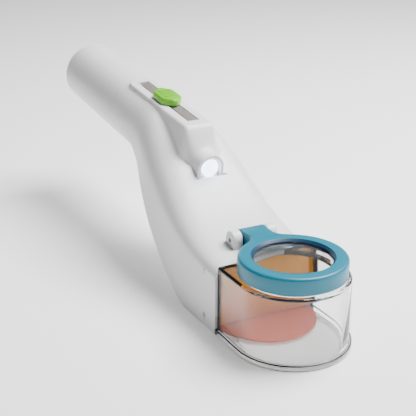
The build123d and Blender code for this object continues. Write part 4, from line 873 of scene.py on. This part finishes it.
class CatcherLid(bpy.types.PropertyGroup):
    """Sizes of the lid, its lens and its hinge."""

    middle: length("Middle", "Distance of the ring's axis from the origin, along X", 0.1180045)
    radius: length("Radius", "Outer radius of the ring", 0.028)
    low: length("Low", "Underside of the ring's skirt", 0.0394)
    high: length("High", "Top of the ring", 0.0484)
    skirt: length("Skirt", "Inner radius of the skirt", 0.0264)
    plate: length("Plate", "Thickness of the ring's top", 0.002)
    window: length("Window", "Radius of the window", 0.020)
    bevel: length("Bevel", "Width of the dark band round the window", 0.0013)
    edge: length("Edge", "Radius of the rounded top edge", 0.0016)
    collar_outer: length("Collar outside", "Outer radius of the collar that holds the lens", 0.0229)
    collar_inner: length("Collar inside", "Inner radius of the collar that holds the lens", 0.0219)
    collar_depth: length("Collar depth", "Depth of the collar under the plate", 0.0024)
    tab_half: length("Tab", "Half width of the tab", 0.0074)
    tab_flare: length("Tab flare", "Radius where the tab runs into the ring", 0.007)
    tab_low: length("Tab low", "Underside of the tab", 0.0402)
    tab_edge: length("Tab edge", "Radius of the tab's edges", 0.0012)
    hinge_back: length("Hinge place", "Distance of the hinge behind the ring's axis", 0.0408)
    hinge_high: length("Hinge height", "Height of the hinge's axis", 0.0436)
    barrel: length("Barrel", "Radius of the knuckle", 0.0048)
    lens_radius: length("Lens", "Radius of the lens", 0.02175)
    lens_edge: length("Lens edge", "Thickness of the lens at its rim", 0.0013)
    lens_crown: length("Lens crown", "Rise of the lens in the middle", 0.0006)
    lens_inset: length("Lens gap", "Gap round the domed part of the lens", 0.0001)
    retainer: length("Retainer", "Inner radius of the ring under the lens", 0.0203)
    retainer_depth: length("Retainer depth", "Thickness of the ring under the lens", 0.0009)


class CATCHER_OT_lid(bpy.types.Operator):
    """Make the blue ring with its tab and knuckle, the lens and the ring that holds it"""

    bl_idname = "catcher.lid"
    bl_label = "Lid"

    def execute(self, context):
        lid = context.scene.catcher_lid
        centre = Vector((lid.middle, 0, 0))
        plate_low = lid.high - lid.plate
        soft = lid.bevel / 4
        bm = bmesh.new()
        turned(bm, rounded((
            (lid.window, plate_low, 0), (lid.window, lid.high - lid.bevel, 0),
            (lid.window + lid.bevel, lid.high, soft), (lid.radius, lid.high, lid.edge),
            (lid.radius, lid.low, soft), (lid.skirt, lid.low, soft), (lid.skirt, plate_low, soft),
            (lid.collar_outer, plate_low, 0), (lid.collar_outer, plate_low - lid.collar_depth, 0),
            (lid.collar_inner, plate_low - lid.collar_depth, 0), (lid.collar_inner, plate_low, 0))),
            centre, UP)
        for face in bm.faces:
            place = face.calc_center_median() - centre
            reach = place.to_2d().length
            face.material_index = int(reach < lid.window + lid.bevel and place.z > plate_low + soft)

        # the tab runs from the ring's skirt back to the knuckle, its sides sweeping out to meet the ring
        flare_middle = lid.tab_half + lid.tab_flare
        meet = -sqrt((lid.radius + lid.tab_flare) ** 2 - flare_middle ** 2)
        side = arc(lid.tab_flare, -pi / 2, atan2(-meet, flare_middle), 8, meet, flare_middle)
        reach = asin(side[-1].y / (lid.skirt + soft))
        front = arc(lid.skirt + soft, pi - reach, 2 * reach, 12)
        outline = [Vector((-lid.hinge_back, lid.tab_half))] + side + front
        outline += [Vector((point.x, -point.y)) for point in reversed([outline[0]] + side)]
        low, high = slab(bm, outline, lid.high - lid.tab_low, Matrix.Translation(centre + UP * lid.tab_low))
        for level in (low, high):
            outside = [vert for vert in level
                       if hypot(vert.co.x - lid.middle, vert.co.y) > lid.radius - soft]
            soften(bm, outside, lid.tab_edge)
        hinge = centre + Vector((-lid.hinge_back, 0, lid.hinge_high))
        turned(bm, rounded((
            (0, -lid.tab_half, 0), (lid.barrel, -lid.tab_half, 2 * soft),
            (lid.barrel, lid.tab_half, 2 * soft), (0, lid.tab_half, 0))), hinge, LEFT, 48, on_axis=True)
        new_piece("lid", bm, ["blue_lid", "navy_retainer"], "lid", ["lid_ring"])

        dome = lid.window - lid.lens_inset
        bend = (dome ** 2 + lid.lens_crown ** 2) / (2 * lid.lens_crown)
        crown = plate_low + lid.lens_crown - bend
        bow = [(dome * step / 16, crown + sqrt(bend ** 2 - (dome * step / 16) ** 2), 0) for step in range(17)]
        bm = bmesh.new()
        turned(bm, rounded((
            *bow, (lid.lens_radius, plate_low, 0), (lid.lens_radius, plate_low - lid.lens_edge, 0),
            (0, plate_low - lid.lens_edge, 0))), centre, UP, 128, on_axis=True)
        new_piece("lens", bm, ["clear_lens"], "lid", ["magnifier_lens"])

        bm = bmesh.new()
        under = plate_low - lid.lens_edge
        turned(bm, rounded((
            (lid.retainer, under, soft / 2), (lid.collar_inner, under, 0),
            (lid.collar_inner, under - lid.retainer_depth, soft / 2),
            (lid.retainer, under - lid.retainer_depth, soft / 2))), centre, UP)
        new_piece("retainer", bm, ["navy_retainer"], "lid", ["lens_retainer"])
        return {"FINISHED"}


class CatcherChamber(bpy.types.PropertyGroup):
    """Sizes of the see-through chamber, its tinted panel and the trapdoor."""

    radius: length("Radius", "Outer radius of the chamber's round front", 0.0299)
    back: length("Back", "Distance of the chamber's open back behind its axis", 0.02365)
    height: length("Height", "Top of the chamber", 0.0384)
    wall: length("Wall", "Thickness of the walls and the top", 0.002)
    edge: length("Edge", "Radius of the top edge", 0.0012)
    flange: length("Flange", "Radius of the foot flange", 0.0314)
    flange_height: length("Flange height", "Height of the foot flange", 0.0032)
    flange_edge: length("Flange edge", "Radius of the flange's edges", 0.0005)
    mouth: length("Mouth", "Radius of the opening underneath", 0.0262)
    lip: length("Lip", "Height of the lip that the trapdoor slides over", 0.0007)
    neck_base: length("Neck base", "Outer radius of the neck at the bottom", 0.0256)
    neck_tip: length("Neck tip", "Outer radius of the neck at the top", 0.0246)
    neck_inner: length("Neck inside", "Inner radius of the neck", 0.0233)
    neck_height: length("Neck height", "Height of the neck above the top", 0.0076)
    tab_long: length("Tab length", "Length of the tabs that the side screws hold", 0.016)
    tab_in: length("Tab inside", "Inner face of a tab from the middle", 0.0279)
    tab_thick: length("Tab thickness", "Thickness of a tab", 0.001)
    tab_low: length("Tab low", "Underside of a tab", 0.0034)
    tab_high: length("Tab high", "Top of a tab", 0.0326)
    panel_back: length("Panel place", "Front face of the panel behind the chamber's axis", 0.02395)
    panel_half: length("Panel half width", "Half width of the panel", 0.02775)
    panel_low: length("Panel low", "Underside of the panel", 0.003527)
    panel_high: length("Panel high", "Top of the panel", 0.036)
    panel_thick: length("Panel thickness", "Thickness of the panel", 0.0018)
    panel_corner: length("Panel corner", "Radius of the panel's top corners", 0.006)
    door_radius: length("Door", "Radius of the trapdoor's round front", 0.0276)
    door_place: length("Door place", "Centre of the door's round front behind the chamber's axis", 0.0243)
    door_lift: length("Door lift", "Height of the door's underside at its centre", 0.0019871)
    door_tilt: angle("Door tilt", "Fall of the door forward", 1.2)
    door_thick: length("Door thickness", "Thickness of the door", 0.0012)
    door_shoulder: length("Door shoulder", "Length of the door's straight sides", 0.014)
    door_tail: length("Door tail", "Rear end of the door from its centre", 0.0266)
    door_tail_half: length("Door tail half width", "Half width of the door's rear end", 0.024)
    arm_back: length("Ear place", "Distance of the pin from the door's centre", 0.033)
    arm_high: length("Ear height", "Height of the pin above the door's underside", 0.0076)
    arm_radius: length("Ear radius", "Radius of an ear round the pin", 0.0024)
    arm_in: length("Ear inside", "Inner face of an ear from the middle", 0.00175)
    arm_thick: length("Ear thickness", "Thickness of an ear", 0.0019)
    arm_foot: length("Ear foot", "Length of an ear's foot on the door", 0.005)


class CATCHER_OT_chamber(bpy.types.Operator):
    """Make the clear chamber, the tinted panel behind it and the orange trapdoor"""

    bl_idname = "catcher.chamber"
    bl_label = "Chamber"

    def execute(self, context):
        room = context.scene.catcher_chamber
        middle = Vector((context.scene.catcher_lid.middle, 0, 0))
        top_low = room.height - room.wall

        def wall_section(behind):
            """The wall's outline beside the axis, with its two inner edges on their circles."""
            hole = sqrt(room.neck_base ** 2 - behind ** 2)
            mouth = sqrt(room.mouth ** 2 - behind ** 2)
            inner = room.radius - room.wall
            return rounded((
                (room.flange, 0, room.flange_edge), (room.flange, room.flange_height, room.flange_edge),
                (room.radius, room.flange_height, room.flange_edge), (room.radius, room.height, room.edge),
                (hole, room.height, 0), (hole, top_low, 0), (inner, top_low, room.edge / 2),
                (inner, room.lip, 0), (mouth, room.lip, 0), (mouth, 0, 0)), 4)

        # one wall section carried along the left side, round the front and back along the right side
        run = [room.back, room.back - room.wall] + [room.back * (1 - step / 8) for step in range(1, 8)]
        path = [(behind, pi / 2) for behind in run]
        path += [(0, pi / 2 - pi * step / 72) for step in range(73)]
        path += [(behind, -pi / 2) for behind in reversed(run)]
        bm = bmesh.new()
        laid(bm, [[middle + Vector((cos(turn) * point.x - behind, sin(turn) * point.x, point.y))
                   for point in wall_section(behind)] for behind, turn in path], capped=True)
        # painted shade: the top edge along the sides, the flange's rounded edges and the end faces of the
        # open back take the dark edge material, for the darkness that a clear wall shows where it is seen
        # edge on
        for face in bm.faces:
            spot = face.calc_center_median() - middle
            rim = spot.z > room.height - room.edge and abs(spot.y) > room.radius - room.edge and spot.x < 0
            reach = hypot(max(spot.x, 0), spot.y)
            line = reach > room.flange - room.flange_edge and abs(spot.z - room.flange_height / 2) > (
                room.flange_height / 2 - room.flange_edge)
            face.material_index = int(rim or line or spot.x < room.wall - room.back)
        neck_base, neck_top = room.neck_base - 2 * MERGE, room.height + room.neck_height
        turned(bm, rounded((
            (room.neck_inner, top_low, 0), (neck_base, top_low, 0), (neck_base, room.height, 0),
            (room.neck_tip, neck_top, room.edge / 3), (room.neck_inner, neck_top, room.edge / 3))),
            middle, UP)
        for side in (room.tab_in, -room.tab_in - room.tab_thick):
            spot = Matrix.Translation(middle + Vector((-room.back - 2 * MERGE, side, 0)))
            slab(bm, ((0, room.tab_low), (-room.tab_long, room.tab_low), (-room.tab_long, room.tab_high),
                      (0, room.tab_high)), -room.tab_thick, spot @ ON_EDGE)
        new_piece("clear_chamber", bm, ["clear_chamber", "clear_edge"], "housing", ["chamber"])

        bm = bmesh.new()
        half, corner = room.panel_half, room.panel_corner
        spot = Matrix.Translation(middle - Vector((room.panel_back, 0, 0)))
        upright = Matrix(((0, 0, -1, 0), (1, 0, 0, 0), (0, 1, 0, 0), (0, 0, 0, 1)))
        for level in slab(bm, rounded(((-half, room.panel_low, 0), (half, room.panel_low, 0),
                                       (half, room.panel_high, corner), (-half, room.panel_high, corner)), 8),
                          room.panel_thick, spot @ upright):
            soften(bm, level, room.wall / 8, 2)
        new_piece("panel", bm, ["peach_panel"], "housing", ["front_panel"])

        # the door slides on a slight fall; its two ears hold the link's lower pin
        bm = bmesh.new()
        spot = Matrix.Translation(middle + Vector((-room.door_place, 0, room.door_lift)))
        fall = Matrix.Rotation(room.door_tilt, 4, "Y")
        shoulder, tail = room.door_shoulder, room.door_tail
        outline = arc(room.door_radius, -pi / 2, pi, 48)
        outline += [(-shoulder, room.door_radius), (-tail, room.door_tail_half),
                    (-tail, -room.door_tail_half), (-shoulder, -room.door_radius)]
        for level in slab(bm, outline, room.door_thick, spot @ fall):
            soften(bm, level, room.wall / 8, 2)
        ear = arc(room.arm_radius, 0, pi, 12, -room.arm_back, room.arm_high)
        sunk = 0.1 * MILLIMETRE
        ear += [Vector(point) for point in (
            (-room.arm_back, 2 * room.arm_radius), (-tail, sunk), (room.arm_foot - tail, sunk),
            (room.arm_foot - tail, room.door_thick), (-tail, room.door_thick))]
        for outer in (room.arm_in + room.arm_thick, -room.arm_in):
            place = spot @ fall @ Matrix.Translation((0, outer, 0)) @ ON_EDGE
            slab(bm, ear, room.arm_thick, place)
        new_piece("door", bm, ["orange_door"], "door", ["trapdoor"])
        return {"FINISHED"}


class CatcherButton(bpy.types.PropertyGroup):
    """Sizes of the thumb button and the strip that it slides over."""

    long: length("Length", "Length of the button", 0.0264)
    wide: length("Width", "Width of the button", 0.0134)
    high: length("Height", "Height of the button", 0.004)
    gap: length("Gap", "Gap under the button", 0.0003)
    nose: length("Nose", "Length of its two pointed ends", 0.007)
    corner: length("Corner", "Radius of its corners", 0.0035)
    edge: length("Edge", "Radius of its top edge", 0.0015)
    rib_count: IntProperty(name="Ribs", description="Number of grip ribs", default=4)
    rib_wide: length("Rib width", "Width of a grip rib", 0.0009)
    rib_high: length("Rib height", "Height of a grip rib", 0.00045)
    rib_pitch: length("Rib pitch", "Distance between grip ribs", 0.003)
    rib_half: length("Rib half length", "Half length of a grip rib", 0.004)
    strip_half: length("Strip", "Half length of the strip", 0.0349)
    strip_left: length("Strip left", "Left edge of the strip", 0.0037)
    strip_right: length("Strip right", "Right edge of the strip", -0.0018)
    strip_deep: length("Strip depth", "Underside of the strip below the pad's top", 0.00158)
    strip_thick: length("Strip thickness", "Thickness of the strip", 0.001)
    line_count: IntProperty(name="Lines", description="Number of raised lines on the strip", default=3)
    line_wide: length("Line width", "Width of a raised line", 0.0006)
    line_high: length("Line height", "Height of a raised line", 0.00025)


class CATCHER_OT_button(bpy.types.Operator):
    """Make the green thumb button and the grey strip in the slot"""

    bl_idname = "catcher.button"
    bl_label = "Button"

    def execute(self, context):
        button = context.scene.catcher_button
        body = context.scene.catcher_body
        middle = context.scene.catcher_lid.middle
        centre = Vector((middle - body.pad_back, 0,
                         body.root_height - (body.root_back - body.pad_back) * tan(body.grip_tilt)))
        slide = Matrix.Translation(centre) @ Matrix.Rotation(body.grip_tilt, 4, "Y")
        low = body.pad_height + button.gap
        ahead, across = button.long / 2, button.wide / 2
        bm = bmesh.new()
        outline = rounded((
            (ahead, 0, button.corner), (ahead - button.nose, across, button.corner),
            (button.nose - ahead, across, button.corner), (-ahead, 0, button.corner),
            (button.nose - ahead, -across, button.corner), (ahead - button.nose, -across, button.corner)), 6)
        over = slab(bm, outline, button.high, slide @ Matrix.Translation((0, 0, low)))[1]
        soften(bm, over, button.edge, 5)
        for rib in range(button.rib_count):
            place = (rib - (button.rib_count - 1) / 2) * button.rib_pitch
            half = button.rib_wide / 2
            outline = stadium(place - half, place + half, -button.rib_half, button.rib_half, half * 0.9, 4)
            rise = button.high / 2 + button.rib_high
            over = slab(bm, outline, rise, slide @ Matrix.Translation((0, 0, low + button.high / 2)))[1]
            soften(bm, over, button.rib_high / 2, 2)
        new_piece("button", bm, ["green_button"], "slider", ["slider_button"])

        bm = bmesh.new()
        floor = body.pad_height - button.strip_deep
        half, left, right = button.strip_half, button.strip_left, button.strip_right
        outline = stadium(-half, half, right, left, (left - right) / 4, 5)
        over = slab(bm, outline, button.strip_thick, slide @ Matrix.Translation((0, 0, floor)))[1]
        soften(bm, over, button.line_high / 2, 2)
        for line in range(button.line_count):
            across = right + (left - right) * (line + 1) / (button.line_count + 1)
            end = button.line_wide / 2
            outline = stadium(3 * end - half, half - 3 * end, across - end, across + end, end * 0.8, 3)
            over = slab(bm, outline, button.strip_thick / 2 + button.line_high,
                        slide @ Matrix.Translation((0, 0, floor + button.strip_thick / 2)))[1]
            soften(bm, over, button.line_high / 3, 2)
        new_piece("strip", bm, ["grey_strip"], "housing", ["slot_strip"])
        return {"FINISHED"}


class CATCHER_OT_copies(bpy.types.Operator):
    """Join the loose triangles of the CAD solids that keep their own shape"""

    bl_idname = "catcher.copies"
    bl_label = "Smooth CAD solids"

    def execute(self, context):
        for node, body in (("bottom_cover", "housing"), ("battery_cap", "cap"), ("torch_lens", "housing")):
            merged_copy(node, body)
        return {"FINISHED"}


class CatcherStage(bpy.types.PropertyGroup):
    """Camera, floor and lights."""

    lens: FloatProperty(name="Lens", description="Focal length on a 36 mm sensor", default=85.4)
    eye: FloatVectorProperty(name="Camera place", description="Where the photograph was taken from",
                             default=(0.4938, -0.2483, 0.2509), subtype="TRANSLATION", unit="LENGTH", size=3)
    turn: angle("Turn", "Camera's direction round the object", 28.02)
    rise: angle("Rise", "Camera's height above the horizon", 21.59)
    roll: angle("Roll", "Camera's turn about its own axis", 0.28)
    floor: colour("Floor", "Pale studio floor", "FFFFFF")
    floor_half: length("Floor", "Half of the floor's width", 1.6)
    glow: FloatProperty(name="Glow", description="Light that comes up through the frosted floor", default=0.3)
    sky: FloatProperty(name="Surround", description="Strength of the even light from all round", default=0.13)


class CATCHER_OT_stage(bpy.types.Operator):
    """Set the camera where the photograph was taken, with a pale floor and soft lights"""

    bl_idname = "catcher.stage"
    bl_label = "Stage"

    def execute(self, context):
        stage = context.scene.catcher_stage
        flat = cos(stage.rise)
        back = Vector((cos(stage.turn) * flat, -sin(stage.turn) * flat, sin(stage.rise)))
        level = UP.cross(back).normalized()
        upright = back.cross(level)
        right = level * cos(stage.roll) + upright * sin(stage.roll)
        top = upright * cos(stage.roll) - level * sin(stage.roll)
        view = bpy.data.cameras.new("camera")
        view.lens = stage.lens
        view.sensor_width = 36
        view.clip_start = 0.01
        camera = bpy.data.objects.new("camera", view)
        turned_axes = Matrix((right, top, back)).transposed().to_4x4()
        camera.matrix_world = Matrix.Translation(stage.eye) @ turned_axes
        context.scene.collection.objects.link(camera)
        context.scene.camera = camera

        bm = bmesh.new()
        bmesh.ops.create_grid(bm, x_segments=1, y_segments=1, size=stage.floor_half)
        mesh = bpy.data.meshes.new("floor")
        bm.to_mesh(mesh)
        bm.free()
        floor = bpy.data.objects.new("floor", mesh)
        context.scene.collection.objects.link(floor)
        mesh.materials.append(lit_table("frosted_light_table", stage.floor, stage.glow))

        world = bpy.data.worlds.new("studio")
        world.use_nodes = True
        world.node_tree.nodes["Background"].inputs["Color"].default_value = rgba(linear("FFFFFF"))
        world.node_tree.nodes["Background"].inputs["Strength"].default_value = stage.sky
        context.scene.world = world
        for name, place, aim, size, power in LAMPS:
            lamp = bpy.data.lights.new(name, "AREA")
            lamp.shape = "SQUARE"
            lamp.size = size
            lamp.energy = power
            light = bpy.data.objects.new(name, lamp)
            light.location = place
            light.rotation_euler = (Vector(place) - Vector(aim)).to_track_quat("Z", "Y").to_euler()
            context.scene.collection.objects.link(light)
        return {"FINISHED"}


class CATCHER_PT_panel(bpy.types.Panel):
    """Buttons and sizes in the sidebar."""

    bl_idname = "CATCHER_PT_panel"
    bl_label = "Bug catcher"
    bl_space_type = "VIEW_3D"
    bl_region_type = "UI"
    bl_category = "Catcher"

    def draw(self, context):
        for operator in OPERATORS:
            self.layout.operator(operator.bl_idname)
        for group in GROUPS:
            box = self.layout.box()
            settings = getattr(context.scene, GROUPS[group])
            for name in group.__annotations__:
                box.prop(settings, name)


OPERATORS = (CATCHER_OT_finishes, CATCHER_OT_body, CATCHER_OT_lid, CATCHER_OT_chamber, CATCHER_OT_button,
             CATCHER_OT_copies, CATCHER_OT_stage)
GROUPS = {CatcherColours: "catcher_colours", CatcherBody: "catcher_body", CatcherLid: "catcher_lid",
          CatcherChamber: "catcher_chamber", CatcherButton: "catcher_button", CatcherStage: "catcher_stage"}


def register():
    for group, name in GROUPS.items():
        bpy.utils.register_class(group)
        setattr(bpy.types.Scene, name, PointerProperty(type=group))
    for operator in OPERATORS:
        bpy.utils.register_class(operator)
    bpy.utils.register_class(CATCHER_PT_panel)


def unregister():
    bpy.utils.unregister_class(CATCHER_PT_panel)
    for operator in reversed(OPERATORS):
        bpy.utils.unregister_class(operator)
    for group, name in GROUPS.items():
        delattr(bpy.types.Scene, name)
        bpy.utils.unregister_class(group)


def main():
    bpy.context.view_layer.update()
    register()
    for operator in OPERATORS:
        group, name = operator.bl_idname.split(".")
        getattr(getattr(bpy.ops, group), name)()


if __name__ == "__main__":
    main()
